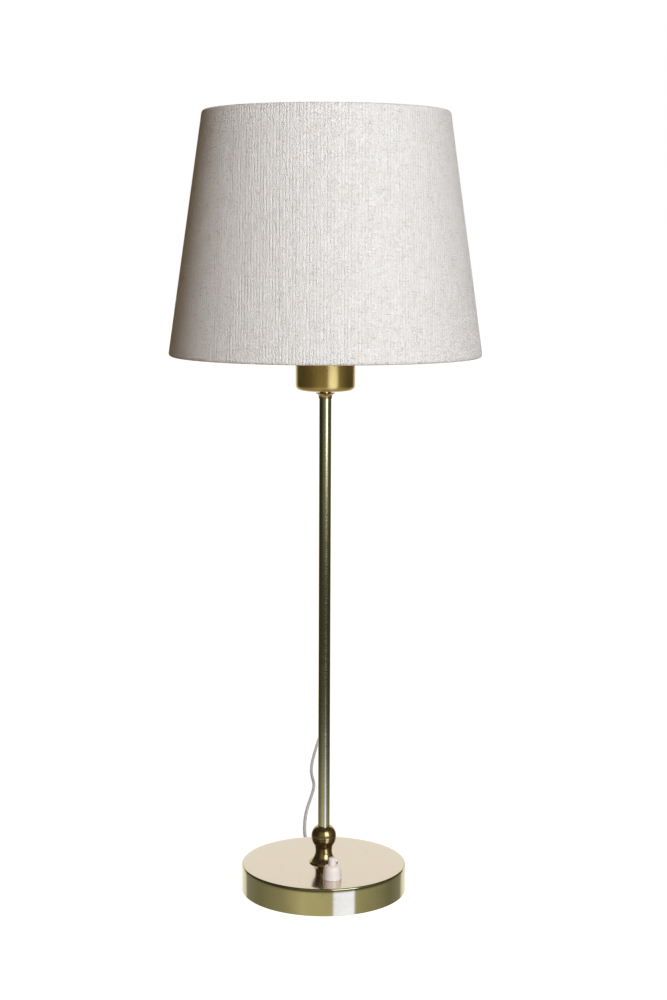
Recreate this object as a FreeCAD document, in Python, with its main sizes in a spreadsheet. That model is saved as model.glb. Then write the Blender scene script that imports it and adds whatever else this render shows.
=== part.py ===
"""A brass table lamp with a linen drum shade, an E27 holder and a turn switch on its base."""

import FreeCAD, Part
import Sketcher
import math
import os

SIZES = {
    # weighted base
    "base_diameter": 145.0,
    "base_height": 24.5,
    "cover_wall": 1.0,
    "cover_bevel": 1.4,
    "cover_rim_lift": 0.5,
    "felt_thickness": 1.2,
    "felt_margin": 1.5,
    "plate_thickness": 1.0,
    "plate_gap": 1.0,
    "ballast_gap": 0.6,
    "ballast_ring_width": 11.0,
    "ballast_web": 8.0,
    "plate_screw_count": 3.0,
    "plate_screw_length": 8.0,
    # screws that share one pattern
    "screw_radius": 1.5,
    "screw_head_radius": 2.8,
    "screw_head_height": 1.5,
    # clearances
    "slide_gap": 0.05,
    "hole_gap": 0.1,
    "seat_gap": 0.15,
    # threaded rod and its fasteners
    "rod_diameter": 8.0,
    "rod_bore": 5.6,
    "rod_below_nut": 1.5,
    "rod_hole_gap": 0.2,
    "washer_diameter": 22.0,
    "washer_thickness": 1.5,
    "nut_across_corners": 15.0,
    "nut_height": 5.0,
    # turned foot of the stem
    "foot_height": 33.0,
    "foot_flange_radius": 12.8,
    "foot_flange_height": 1.0,
    "foot_waist_radius": 7.5,
    "foot_waist_height": 9.0,
    "foot_shoulder_radius": 8.8,
    "foot_shoulder_height": 16.2,
    "foot_ring_radius": 10.9,
    "foot_ring_height": 22.0,
    "foot_ring_width": 0.5,
    "foot_ring_depth": 0.25,
    "foot_bead_radius": 11.1,
    "foot_bead_height": 24.9,
    "foot_lip_radius": 6.7,
    "foot_socket_depth": 6.0,
    "foot_lower_bend": 12.0,
    "foot_upper_bend": 13.0,
    "foot_shoulder_bend": 14.0,
    "foot_bead_lower_bend": 6.0,
    "foot_bead_upper_bend": 10.0,
    # stem
    "stem_diameter": 10.6,
    "stem_wall": 0.8,
    "stem_top_height": 439.0,
    # flared collar and neck below the cup
    "collar_skirt": 1.8,
    "collar_wall": 0.5,
    "collar_flare_height": 4.7,
    "collar_rim_radius": 8.6,
    "collar_rim_width": 0.4,
    "collar_flare_bend": 4.5,
    "collar_bowl_depth": 2.2,
    "neck_radius": 4.9,
    "neck_height": 4.7,
    # socket cup
    "cup_diameter": 51.4,
    "cup_height": 47.6,
    "cup_wall": 0.9,
    "cup_corner": 4.5,
    # lampholder
    "holder_cap_diameter": 38.0,
    "holder_cap_wall": 1.5,
    "holder_cap_height": 24.7,
    "holder_hub_radius": 7.0,
    "holder_hub_height": 10.0,
    "insert_body_radius": 17.2,
    "insert_body_depth": 6.0,
    "insert_flange": 2.0,
    "insert_post_radius": 15.4,
    "insert_post_height": 8.0,
    "skirt_diameter": 39.6,
    "skirt_collar_wall": 1.5,
    "skirt_bore_radius": 17.4,
    "skirt_overlap": 10.0,
    "skirt_height": 42.0,
    "thread_bore_radius": 13.6,
    "thread_wall": 0.5,
    "thread_height": 26.0,
    "thread_lip": 3.0,
    "contact_radius": 4.0,
    "contact_thickness": 0.8,
    "contact_tip_radius": 2.4,
    "contact_tip_height": 1.4,
    "terminal_offset": 9.0,
    "terminal_head": 2.2,
    "terminal_length": 5.5,
    # rings that hold the shade
    "rest_below_skirt_top": 20.0,
    "rest_ring_height": 3.0,
    "rest_ring_radius": 25.5,
    "clamp_ring_height": 7.0,
    "clamp_ring_radius": 25.3,
    "clamp_ring_step": 1.0,
    # shade
    "shade_bottom_diameter": 268.0,
    "shade_top_diameter": 210.4,
    "shade_height": 206.0,
    "shade_drop": 23.55,
    "fabric_thickness": 0.9,
    "wire_diameter": 2.9,
    "spoke_diameter": 2.5,
    "hem_depth": 9.0,
    "hem_gap": 0.3,
    "lining_thickness": 0.5,
    "lining_margin": 1.0,
    "fitter_bore_radius": 20.9,
    "fitter_outer_radius": 26.6,
    "fitter_thickness": 3.2,
    "spoke_count": 3.0,
    # bulb
    "bulb_radius": 30.0,
    "bulb_neck_radius": 14.5,
    "bulb_neck_bend": 25.0,
    "bulb_length": 107.6,
    "bulb_wall": 0.8,
    "bulb_foot_radius": 12.5,
    "bulb_foot_depth": 6.0,
    "bulb_cap_radius": 13.2,
    "bulb_cap_wall": 0.4,
    "bulb_cap_height": 21.0,
    "bulb_cap_cone": 3.5,
    "bulb_insulator_radius": 6.5,
    "bulb_insulator_height": 1.2,
    "bulb_contact_radius": 4.5,
    "bulb_contact_height": 1.4,
    # turn switch on the base
    "switch_right": 7.5,
    "switch_inset": 27.8,
    "bell_base_radius": 8.2,
    "bell_foot": 0.9,
    "bell_shoulder_radius": 7.4,
    "bell_shoulder_height": 9.2,
    "bell_height": 12.5,
    "bell_shoulder_bend": 4.2,
    "switch_neck_radius": 5.0,
    "switch_neck_height": 9.5,
    "switch_body_width": 18.0,
    "switch_body_depth": 16.0,
    "switch_body_height": 13.0,
    "switch_wall": 2.5,
    "switch_roof": 5.0,
    "switch_plate": 1.0,
    "spindle_radius": 2.0,
    "knob_radius": 3.5,
    "knob_sink": 3.0,
    "knob_top": 6.2,
    "knob_round": 1.3,
    "knob_lobe_radius": 1.3,
    "knob_lobe_height": 2.6,
    "cam_length": 7.0,
    "cam_width": 2.4,
    "cam_height": 3.0,
    "cam_lift": 1.5,
    "blade_thickness": 0.8,
    "blade_width": 5.0,
    "blade_height": 6.0,
    # cord entry
    "cord_diameter": 3.3,
    "entry_height": 7.0,
    "entry_angle": 52.5,
    "first_spoke_angle": 90.0,
    "bushing_radius": 3.3,
    "bushing_flange_radius": 4.6,
    "bushing_flange": 2.0,
    "bushing_collar_radius": 4.1,
    "bushing_collar": 2.0,
    "sleeve_length": 15.0,
    "sleeve_root_radius": 3.6,
    "sleeve_tip_radius": 2.4,
    "clamp_inset": 9.9,
    "clamp_length": 8.0,
    "clamp_width": 18.0,
    "clamp_lift": 4.0,
    "clamp_screw_spread": 6.0,
    "clamp_screw_bite": 4.5,
    "tail_past_clamp": 2.0,
    "core_diameter": 2.2,
    "core_spread": 1.25,
    "core_bend": 3.0,
    # hank of spare cord behind the base
    "hank_pitch": 2.0,
    "hank_inner_radius": 9.9,
    "hank_run_length": 66.0,
    "hank_layer_gap": 0.45,
    "hank_waist_draw": 6.0,
    "hank_centre_left": 2.0,
    "hank_centre_back": 92.6,
    "hank_last_run": 17.0,
    "tie_thickness": 0.6,
    "tie_width": 6.0,
    # mains plug
    "plug_width": 35.3,
    "plug_thickness": 13.7,
    "plug_length": 37.0,
    "plug_face_chamfer": 6.0,
    "plug_tail_width": 13.0,
    "plug_tail_length": 22.0,
    "plug_sleeve_root": 4.4,
    "plug_sleeve_tip": 2.5,
    "pin_diameter": 4.0,
    "pin_length": 19.0,
    "pin_spacing": 18.6,
    "pin_sink": 4.0,
}

# The free cord, chosen by hand: x to the right, y to the back, z up.
LEAD_ROUTE = [
    (59.6, 77.75, 6.9),
    (61.9, 88.5, 5.3),
    (59.3, 99.2, 3.2),
    (52.4, 107.8, 2.35),
    (43.0, 112.5, 2.35),
]
RUN_ROUTE = [
    (3.0, 112.5, 6.1),
    (-7.9, 117.6, 4.8),
    (-14.8, 127.4, 2.6),
    (-17.2, 143.5, 1.7),
    (-18.8, 172.0, 1.7),
    (-18.6, 203.0, 1.7),
    (-16.7, 236.0, 1.7),
    (-13.2, 272.0, 1.7),
    (-9.7, 315.0, 1.7),
    (-13.4, 352.0, 1.7),
    (-13.9, 388.0, 1.7),
    (-12.0, 424.0, 1.7),
    (-9.0, 466.0, 1.7),
    (-5.6, 508.0, 1.7),
    (-2.2, 540.0, 1.7),
    (-0.6, 562.0, 3.6),
    (0.0, 584.0, 17.7),
]
PLUG_START = (0.0, 598.0, 17.7)
HANK_RUNS = 11
CLIMBING_RUN = 5
ARC_SHARE = 0.45
NOTCH_START_SHARE = 0.3
NOTCH_END_SHARE = 1.5

doc = FreeCAD.newDocument("TableLamp")
sheet = doc.addObject("Spreadsheet::Sheet", "Dims")
for row, (alias, length) in enumerate(SIZES.items(), start=1):
    sheet.set("A%d" % row, alias)
    sheet.set("B%d" % row, str(length))
    sheet.setAlias("B%d" % row, alias)
doc.recompute()


class Size:
    """A number together with the sheet expression that gives it."""

    def __init__(self, number, text):
        self.number = number
        self.text = text

    def __add__(self, other):
        other = as_size(other)
        return Size(self.number + other.number, "(%s + %s)" % (self.text, other.text))

    def __sub__(self, other):
        other = as_size(other)
        return Size(self.number - other.number, "(%s - %s)" % (self.text, other.text))

    def __mul__(self, other):
        other = as_size(other)
        return Size(self.number * other.number, "(%s * %s)" % (self.text, other.text))

    def __truediv__(self, other):
        other = as_size(other)
        return Size(self.number / other.number, "(%s / %s)" % (self.text, other.text))

    def root(self):
        return Size(math.sqrt(self.number), "sqrt(%s)" % self.text)

    def cosine(self):
        return Size(math.cos(math.radians(self.number)), "cos(%s)" % self.text)

    def sine(self):
        return Size(math.sin(math.radians(self.number)), "sin(%s)" % self.text)


def as_size(value):
    if isinstance(value, Size):
        return value
    return Size(float(value), "%.9g" % value)


class Dimensions:
    """Each alias of the sheet as a Size."""

    def __getattr__(self, alias):
        return Size(float(sheet.get(alias)), "Dims.%s" % alias)


d = Dimensions()
nodes = []


def keep(item):
    """Marks a finished sub-part for its own file."""
    nodes.append(item)
    return item


def bind(item, name, value):
    item.setExpression(name, as_size(value).text)


def place(item, right=0, back=0, up=0, rotation=None):
    base = FreeCAD.Vector(as_size(right).number, as_size(back).number, as_size(up).number)
    item.Placement = FreeCAD.Placement(base, rotation or FreeCAD.Rotation())
    for name, value in (("x", right), ("y", back), ("z", up)):
        if isinstance(value, Size):
            bind(item, "Placement.Base." + name, value)
    return item


def bend(radius, side):
    """Says that the stretch from this corner to the next is an arc.

    side is +1 where the arc turns anticlockwise in the outline, and -1 where it turns clockwise.
    """
    return (radius, side)


def hold_point(sketch, geometry, end, across, up):
    """Fixes one point of a sketch by its two coordinates."""
    for kind, value, axis in (("DistanceX", across, -2), ("DistanceY", up, -1)):
        value = as_size(value)
        if value.number == 0:
            sketch.addConstraint(Sketcher.Constraint("PointOnObject", geometry, end, axis))
            continue
        index = sketch.addConstraint(
            Sketcher.Constraint(kind, -1, 1, geometry, end, value.number))
        sketch.setExpression("Constraints[%d]" % index, value.text)


def arc_in_sketch(start, finish, radius, side):
    """The circle arc of one turn between two points of an outline."""
    middle = (start + finish) * 0.5
    chord = finish - start
    drop = math.sqrt(max(radius ** 2 - (chord.Length / 2) ** 2, 0))
    normal = FreeCAD.Vector(-chord.y, chord.x, 0).normalize()
    centre = middle + normal * drop * side
    circle = Part.Circle(centre, FreeCAD.Vector(0, 0, 1), radius)
    first = math.atan2(start.y - centre.y, start.x - centre.x)
    last = math.atan2(finish.y - centre.y, finish.x - centre.x)
    if side < 0:
        first, last = last, first
    return Part.ArcOfCircle(circle, first, last)


def draw_outline(sketch, outline):
    """Draws a closed outline of (across, up) corners, with a bend where a stretch is round."""
    corners = [entry[:2] for entry in outline]
    bends = [entry[2] if len(entry) > 2 else None for entry in outline]
    points = [FreeCAD.Vector(as_size(a).number, as_size(b).number, 0) for a, b in corners]
    count = len(points)
    ends = []
    for index in range(count):
        start = points[index]
        finish = points[(index + 1) % count]
        if bends[index] is None:
            sketch.addGeometry(Part.LineSegment(start, finish), False)
            ends.append((1, 2))
        else:
            radius, side = bends[index]
            arc = arc_in_sketch(start, finish, as_size(radius).number, side)
            sketch.addGeometry(arc, False)
            ends.append((1, 2) if side > 0 else (2, 1))
    for index in range(count):
        follower = (index + 1) % count
        sketch.addConstraint(Sketcher.Constraint(
            "Coincident", index, ends[index][1], follower, ends[follower][0]))
    for index in range(count):
        across, up = corners[index]
        hold_point(sketch, index, ends[index][0], across, up)
        if bends[index] is not None:
            radius = as_size(bends[index][0])
            number = sketch.addConstraint(Sketcher.Constraint("Radius", index, radius.number))
            sketch.setExpression("Constraints[%d]" % number, radius.text)


def origin_plane(body, role):
    for feature in body.Origin.OriginFeatures:
        if feature.Role == role:
            return feature
    raise ValueError(role)


def sketch_on(body, role, name):
    sketch = body.newObject("Sketcher::SketchObject", name)
    sketch.AttachmentSupport = (origin_plane(body, role), [""])
    sketch.MapMode = "FlatFace"
    return sketch


def turned(label, outline):
    """A body turned on the lathe from an outline of (radius, height) corners."""
    body = doc.addObject("PartDesign::Body", label)
    sketch = sketch_on(body, "XZ_Plane", label + "_outline")
    draw_outline(sketch, outline)
    turn = body.newObject("PartDesign::Revolution", label + "_turn")
    turn.Profile = sketch
    turn.ReferenceAxis = (sketch, ["V_Axis"])
    turn.Angle = 360
    sketch.Visibility = False
    return body


def sleeve(label, inner, outer, bottom, top):
    """A plain ring or tube."""
    return turned(label, [(inner, bottom), (outer, bottom), (outer, top), (inner, top)])


def extruded(label, outline, length, role="XY_Plane"):
    body = doc.addObject("PartDesign::Body", label)
    sketch = sketch_on(body, role, label + "_outline")
    draw_outline(sketch, outline)
    pad = body.newObject("PartDesign::Pad", label + "_pad")
    pad.Profile = sketch
    bind(pad, "Length", length)
    return body


def cylinder(label, radius, height):
    item = doc.addObject("Part::Cylinder", label)
    bind(item, "Radius", radius)
    bind(item, "Height", height)
    return item


def block(label, length, width, height):
    item = doc.addObject("Part::Box", label)
    bind(item, "Length", length)
    bind(item, "Width", width)
    bind(item, "Height", height)
    return item


def fused(label, items):
    item = doc.addObject("Part::MultiFuse", label)
    item.Shapes = items
    item.Refine = True
    return item


def cut(label, base, tools):
    item = doc.addObject("Part::Cut", label)
    item.Base = base
    item.Tool = tools[0] if len(tools) == 1 else fused(label + "_tools", tools)
    return item


def together(label, items):
    """Separate solids of one kind in one node."""
    item = doc.addObject("Part::Compound", label)
    item.Links = items
    return item


# Named places that several pieces share
half_base = d.base_diameter / 2
plate_bottom = d.felt_thickness
plate_top = plate_bottom + d.plate_thickness
roof = d.base_height - d.cover_wall
web_bottom = roof - d.ballast_web
ballast_outer = half_base - d.cover_wall - d.ballast_gap
ballast_inner = ballast_outer - d.ballast_ring_width
rod_radius = d.rod_diameter / 2
rod_hole = rod_radius + d.rod_hole_gap
washer_bottom = web_bottom - d.washer_thickness
nut_bottom = washer_bottom - d.nut_height
rod_bottom = nut_bottom - d.rod_below_nut
stem_radius = d.stem_diameter / 2
stem_bore = stem_radius - d.stem_wall
stem_seat = stem_radius + d.slide_gap
foot_top = d.base_height + d.foot_height
stem_bottom = foot_top - d.foot_socket_depth
collar_bottom = d.stem_top_height - d.collar_skirt
collar_rim = collar_bottom + d.collar_flare_height
cup_bottom = collar_rim + d.neck_height - d.collar_bowl_depth
cup_floor = cup_bottom + d.cup_wall
cup_radius = d.cup_diameter / 2
cap_radius = d.holder_cap_diameter / 2
cap_top = cup_floor + d.holder_cap_height
hub_top = cup_floor + d.holder_hub_height
rod_top = hub_top + d.rod_below_nut
flange_top = cap_top + d.insert_flange
insert_bottom = cap_top - d.insert_body_depth
post_top = flange_top + d.insert_post_height
skirt_radius = d.skirt_diameter / 2
skirt_top = flange_top + d.skirt_height
rest_bottom = skirt_top - d.rest_below_skirt_top
ring_bore = skirt_radius + d.hole_gap
fitter_bottom = rest_bottom + d.rest_ring_height + d.seat_gap
shade_bottom = fitter_bottom - d.shade_drop
fitter_top = fitter_bottom + d.fitter_thickness
clamp_bottom = fitter_top + d.seat_gap
bulb_seat = post_top + d.contact_thickness + d.contact_tip_height
screw_hole = d.screw_radius + d.hole_gap
cord_radius = d.cord_diameter / 2
cord_bore = cord_radius + d.slide_gap
switch_y = d.switch_inset - half_base
clamp_distance = ballast_inner - d.clamp_inset
tail_end = clamp_distance - d.clamp_length / 2 - d.tail_past_clamp
entry_turn = FreeCAD.Rotation(FreeCAD.Vector(0, 0, 1), float(sheet.get("entry_angle")))
laid_down = FreeCAD.Rotation(FreeCAD.Vector(0, 1, 0), 90)
entry_axis = entry_turn.multVec(FreeCAD.Vector(1, 0, 0))


def along_entry(item, distance, sideways=0):
    """Puts a piece on the cord's way into the base, with its own X along that way."""
    cosine = d.entry_angle.cosine()
    sine = d.entry_angle.sine()
    out = as_size(distance)
    side = as_size(sideways)
    return place(item, out * cosine - side * sine, out * sine + side * cosine,
                 0, entry_turn)


def entry_drill(label, radius, inner, outer):
    """A round tool along the cord's way, from one distance out to another."""
    tool = cylinder(label, radius, as_size(outer) - inner)
    cosine = d.entry_angle.cosine()
    sine = d.entry_angle.sine()
    start = as_size(inner)
    return place(tool, start * cosine, start * sine, d.entry_height,
                 entry_turn.multiply(laid_down))


def screw(label, right, back, head_bottom, length):
    """A screw that is driven upwards, with its head below."""
    head = cylinder(label + "_head", d.screw_head_radius, d.screw_head_height)
    shank = cylinder(label + "_shank", d.screw_radius, as_size(length) + d.screw_head_height)
    place(head, right, back, head_bottom)
    place(shank, right, back, head_bottom)
    return fused(label, [head, shank])


def plate_screw_places():
    count = int(SIZES["plate_screw_count"])
    reach = (ballast_inner + ballast_outer) / 2
    for number in range(count):
        angle = d.entry_angle + 180 / count + number * 360 / count
        yield reach * angle.cosine(), reach * angle.sine()


def clamp_screw_places():
    cosine = d.entry_angle.cosine()
    sine = d.entry_angle.sine()
    for side in (-1, 1):
        aside = d.clamp_screw_spread * side
        yield (clamp_distance * cosine - aside * sine,
               clamp_distance * sine + aside * cosine)


def base_parts():
    cover = turned("cover_blank", [
        (half_base - d.cover_wall, d.cover_rim_lift),
        (half_base, d.cover_rim_lift),
        (half_base, d.base_height - d.cover_bevel),
        (half_base - d.cover_bevel, d.base_height),
        (rod_hole, d.base_height),
        (rod_hole, roof),
        (half_base - d.cover_wall, roof),
    ])
    switch_hole = cylinder("cover_switch_hole", d.switch_neck_radius + d.hole_gap,
                           d.cover_wall * 3)
    place(switch_hole, d.switch_right, switch_y, roof - d.cover_wall)
    cord_hole = entry_drill("cover_cord_hole", d.bushing_radius + d.hole_gap,
                            ballast_outer, half_base + d.cover_wall)
    keep(cut("base_cover", cover, [switch_hole, cord_hole]))

    blank = turned("ballast_blank", [
        (ballast_inner, plate_top),
        (ballast_outer, plate_top),
        (ballast_outer, roof),
        (rod_hole, roof),
        (rod_hole, web_bottom),
        (ballast_inner, web_bottom),
    ])
    pocket = block("ballast_switch_pocket", d.switch_body_width + d.switch_wall,
                   d.switch_body_depth + d.switch_wall, d.ballast_web * 2)
    place(pocket, d.switch_right - (d.switch_body_width + d.switch_wall) / 2,
          switch_y - (d.switch_body_depth + d.switch_wall) / 2, web_bottom - d.ballast_web / 2)
    tools = [pocket, entry_drill("ballast_cord_hole", d.bushing_radius + d.hole_gap,
                                 ballast_inner - d.ballast_gap, half_base)]
    for number, (right, back) in enumerate(plate_screw_places()):
        hole = cylinder("ballast_plate_hole%d" % number, screw_hole,
                        d.plate_screw_length + d.hole_gap)
        tools.append(place(hole, right, back, plate_top - d.hole_gap))
    for number, (right, back) in enumerate(clamp_screw_places()):
        hole = cylinder("ballast_clamp_hole%d" % number, screw_hole,
                        d.clamp_screw_bite + d.ballast_gap)
        tools.append(place(hole, right, back, web_bottom - d.hole_gap))
    keep(cut("base_ballast", blank, tools))

    plate_radius = half_base - d.cover_wall - d.plate_gap
    plate = turned("plate_blank", [
        (0, plate_bottom), (plate_radius, plate_bottom), (plate_radius, plate_top), (0, plate_top)])
    holes = []
    recesses = []
    screws = []
    for number, (right, back) in enumerate(plate_screw_places()):
        hole = cylinder("plate_hole%d" % number, screw_hole, d.plate_thickness * 3)
        holes.append(place(hole, right, back, plate_bottom - d.plate_thickness))
        recess = cylinder("felt_hole%d" % number, d.screw_head_radius + d.hole_gap,
                          d.felt_thickness * 2)
        recesses.append(place(recess, right, back, plate_bottom - d.felt_thickness * 1.5))
        head = cylinder("plate_screw_head%d" % number, d.screw_head_radius,
                        d.felt_thickness / 2)
        shank = cylinder("plate_screw_shank%d" % number, d.screw_radius,
                         d.plate_screw_length)
        place(head, right, back, plate_bottom - d.felt_thickness / 2)
        place(shank, right, back, plate_bottom - d.felt_thickness / 2)
        screws.append(fused("plate_screw%d" % number, [head, shank]))
    keep(cut("base_bottom_plate", plate, holes))
    keep(together("bottom_plate_screws", screws))
    felt = cylinder("felt_blank", plate_radius - d.felt_margin, d.felt_thickness)
    keep(cut("base_felt", felt, recesses))


def rod_parts():
    keep(sleeve("threaded_rod", d.rod_bore / 2, rod_radius, rod_bottom, rod_top))
    keep(sleeve("bottom_washer", rod_radius + d.hole_gap, d.washer_diameter / 2,
                washer_bottom, web_bottom))
    prism = doc.addObject("Part::Prism", "nut_blank")
    prism.Polygon = 6
    bind(prism, "Circumradius", d.nut_across_corners / 2)
    bind(prism, "Height", d.nut_height)
    place(prism, 0, 0, nut_bottom)
    bore = cylinder("nut_bore", rod_radius + d.slide_gap, d.nut_height * 2)
    place(bore, 0, 0, nut_bottom - d.nut_height / 2)
    keep(cut("bottom_nut", prism, [bore]))


def stem_parts():
    flange = d.base_height + d.foot_flange_height
    ring_low = d.base_height + d.foot_ring_height - d.foot_ring_width / 2
    ring_high = ring_low + d.foot_ring_width
    keep(turned("foot_turning", [
        (rod_radius + d.hole_gap, d.base_height),
        (d.foot_flange_radius, d.base_height),
        (d.foot_flange_radius, flange, bend(d.foot_lower_bend, -1)),
        (d.foot_waist_radius, d.base_height + d.foot_waist_height, bend(d.foot_upper_bend, -1)),
        (d.foot_shoulder_radius, d.base_height + d.foot_shoulder_height,
         bend(d.foot_shoulder_bend, 1)),
        (d.foot_ring_radius, ring_low),
        (d.foot_ring_radius - d.foot_ring_depth, ring_low),
        (d.foot_ring_radius - d.foot_ring_depth, ring_high),
        (d.foot_ring_radius, ring_high, bend(d.foot_bead_lower_bend, 1)),
        (d.foot_bead_radius, d.base_height + d.foot_bead_height, bend(d.foot_bead_upper_bend, 1)),
        (d.foot_lip_radius, foot_top),
        (stem_seat, foot_top),
        (stem_seat, stem_bottom),
        (rod_radius + d.hole_gap, stem_bottom),
    ]))
    keep(sleeve("stem_tube", stem_bore, stem_radius, stem_bottom, d.stem_top_height))
    bowl_floor = collar_rim - d.collar_bowl_depth
    keep(turned("flared_collar", [
        (stem_seat, collar_bottom),
        (stem_seat + d.collar_wall, collar_bottom),
        (stem_seat + d.collar_wall, d.stem_top_height, bend(d.collar_flare_bend, -1)),
        (d.collar_rim_radius, collar_rim),
        (d.collar_rim_radius - d.collar_rim_width, collar_rim),
        (d.neck_radius, bowl_floor),
        (d.neck_radius, cup_bottom),
        (rod_radius + d.hole_gap, cup_bottom),
        (rod_radius + d.hole_gap, d.stem_top_height),
        (stem_seat, d.stem_top_height),
    ]))
    cup_top = cup_bottom + d.cup_height
    inner_corner = d.cup_corner - d.cup_wall
    keep(turned("socket_cup", [
        (rod_radius + d.hole_gap, cup_bottom),
        (cup_radius - d.cup_corner, cup_bottom, bend(d.cup_corner, 1)),
        (cup_radius, cup_bottom + d.cup_corner),
        (cup_radius, cup_top),
        (cup_radius - d.cup_wall, cup_top),
        (cup_radius - d.cup_wall, cup_bottom + d.cup_corner, bend(inner_corner, -1)),
        (cup_radius - d.cup_corner, cup_floor),
        (rod_radius + d.hole_gap, cup_floor),
    ]))


def holder_parts():
    inner = cap_radius - d.holder_cap_wall
    floor = cup_floor + d.holder_cap_wall
    thread = rod_radius + d.slide_gap
    keep(turned("lampholder_cap", [
        (thread, cup_floor),
        (cap_radius, cup_floor),
        (cap_radius, cap_top),
        (inner, cap_top),
        (inner, floor),
        (d.holder_hub_radius, floor),
        (d.holder_hub_radius, hub_top),
        (thread, hub_top),
    ]))
    collar_bore = cap_radius + d.hole_gap
    insert = turned("insert_blank", [
        (0, insert_bottom),
        (d.insert_body_radius, insert_bottom),
        (d.insert_body_radius, cap_top),
        (cap_radius - d.hole_gap, cap_top),
        (cap_radius - d.hole_gap, flange_top),
        (d.insert_post_radius, flange_top),
        (d.insert_post_radius, post_top),
        (0, post_top),
    ])
    holes = []
    screws = []
    for number, side in enumerate((-1, 1)):
        hole = cylinder("insert_hole%d" % number, screw_hole, d.terminal_length * 2)
        holes.append(place(hole, d.terminal_offset * side, 0,
                           insert_bottom - d.terminal_length))
        head = cylinder("terminal_head%d" % number, d.screw_head_radius, d.terminal_head)
        shank = cylinder("terminal_shank%d" % number, d.screw_radius,
                         d.terminal_head + d.terminal_length - d.hole_gap)
        place(head, d.terminal_offset * side, 0, insert_bottom - d.terminal_head)
        place(shank, d.terminal_offset * side, 0, insert_bottom - d.terminal_head)
        screws.append(fused("terminal_screw%d" % number, [head, shank]))
    keep(cut("lampholder_insert", insert, holes))
    keep(together("lampholder_terminal_screws", screws))
    keep(turned("lampholder_skirt", [
        (collar_bore, flange_top - d.skirt_overlap),
        (collar_bore + d.skirt_collar_wall, flange_top - d.skirt_overlap),
        (collar_bore + d.skirt_collar_wall, flange_top + d.collar_wall),
        (skirt_radius, flange_top + d.collar_wall),
        (skirt_radius, skirt_top),
        (d.skirt_bore_radius, skirt_top),
        (d.skirt_bore_radius, flange_top),
        (collar_bore, flange_top),
    ]))
    shell = d.thread_bore_radius + d.thread_wall
    keep(turned("lampholder_thread_shell", [
        (shell - d.thread_lip, post_top),
        (shell, post_top),
        (shell, post_top + d.thread_height),
        (d.thread_bore_radius, post_top + d.thread_height),
        (d.thread_bore_radius, post_top + d.thread_wall),
        (shell - d.thread_lip, post_top + d.thread_wall),
    ]))
    keep(turned("lampholder_centre_contact", [
        (0, post_top),
        (d.contact_radius, post_top),
        (d.contact_radius, post_top + d.contact_thickness),
        (d.contact_tip_radius, post_top + d.contact_thickness),
        (d.contact_tip_radius, bulb_seat),
        (0, bulb_seat),
    ]))
    keep(sleeve("shade_rest_ring", ring_bore, d.rest_ring_radius,
                rest_bottom, rest_bottom + d.rest_ring_height))
    step = clamp_bottom + d.clamp_ring_height / 3
    keep(turned("shade_clamp_ring", [
        (ring_bore, clamp_bottom),
        (d.clamp_ring_radius, clamp_bottom),
        (d.clamp_ring_radius, step),
        (d.clamp_ring_radius - d.clamp_ring_step, step),
        (d.clamp_ring_radius - d.clamp_ring_step, clamp_bottom + d.clamp_ring_height),
        (ring_bore, clamp_bottom + d.clamp_ring_height),
    ]))


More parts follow.
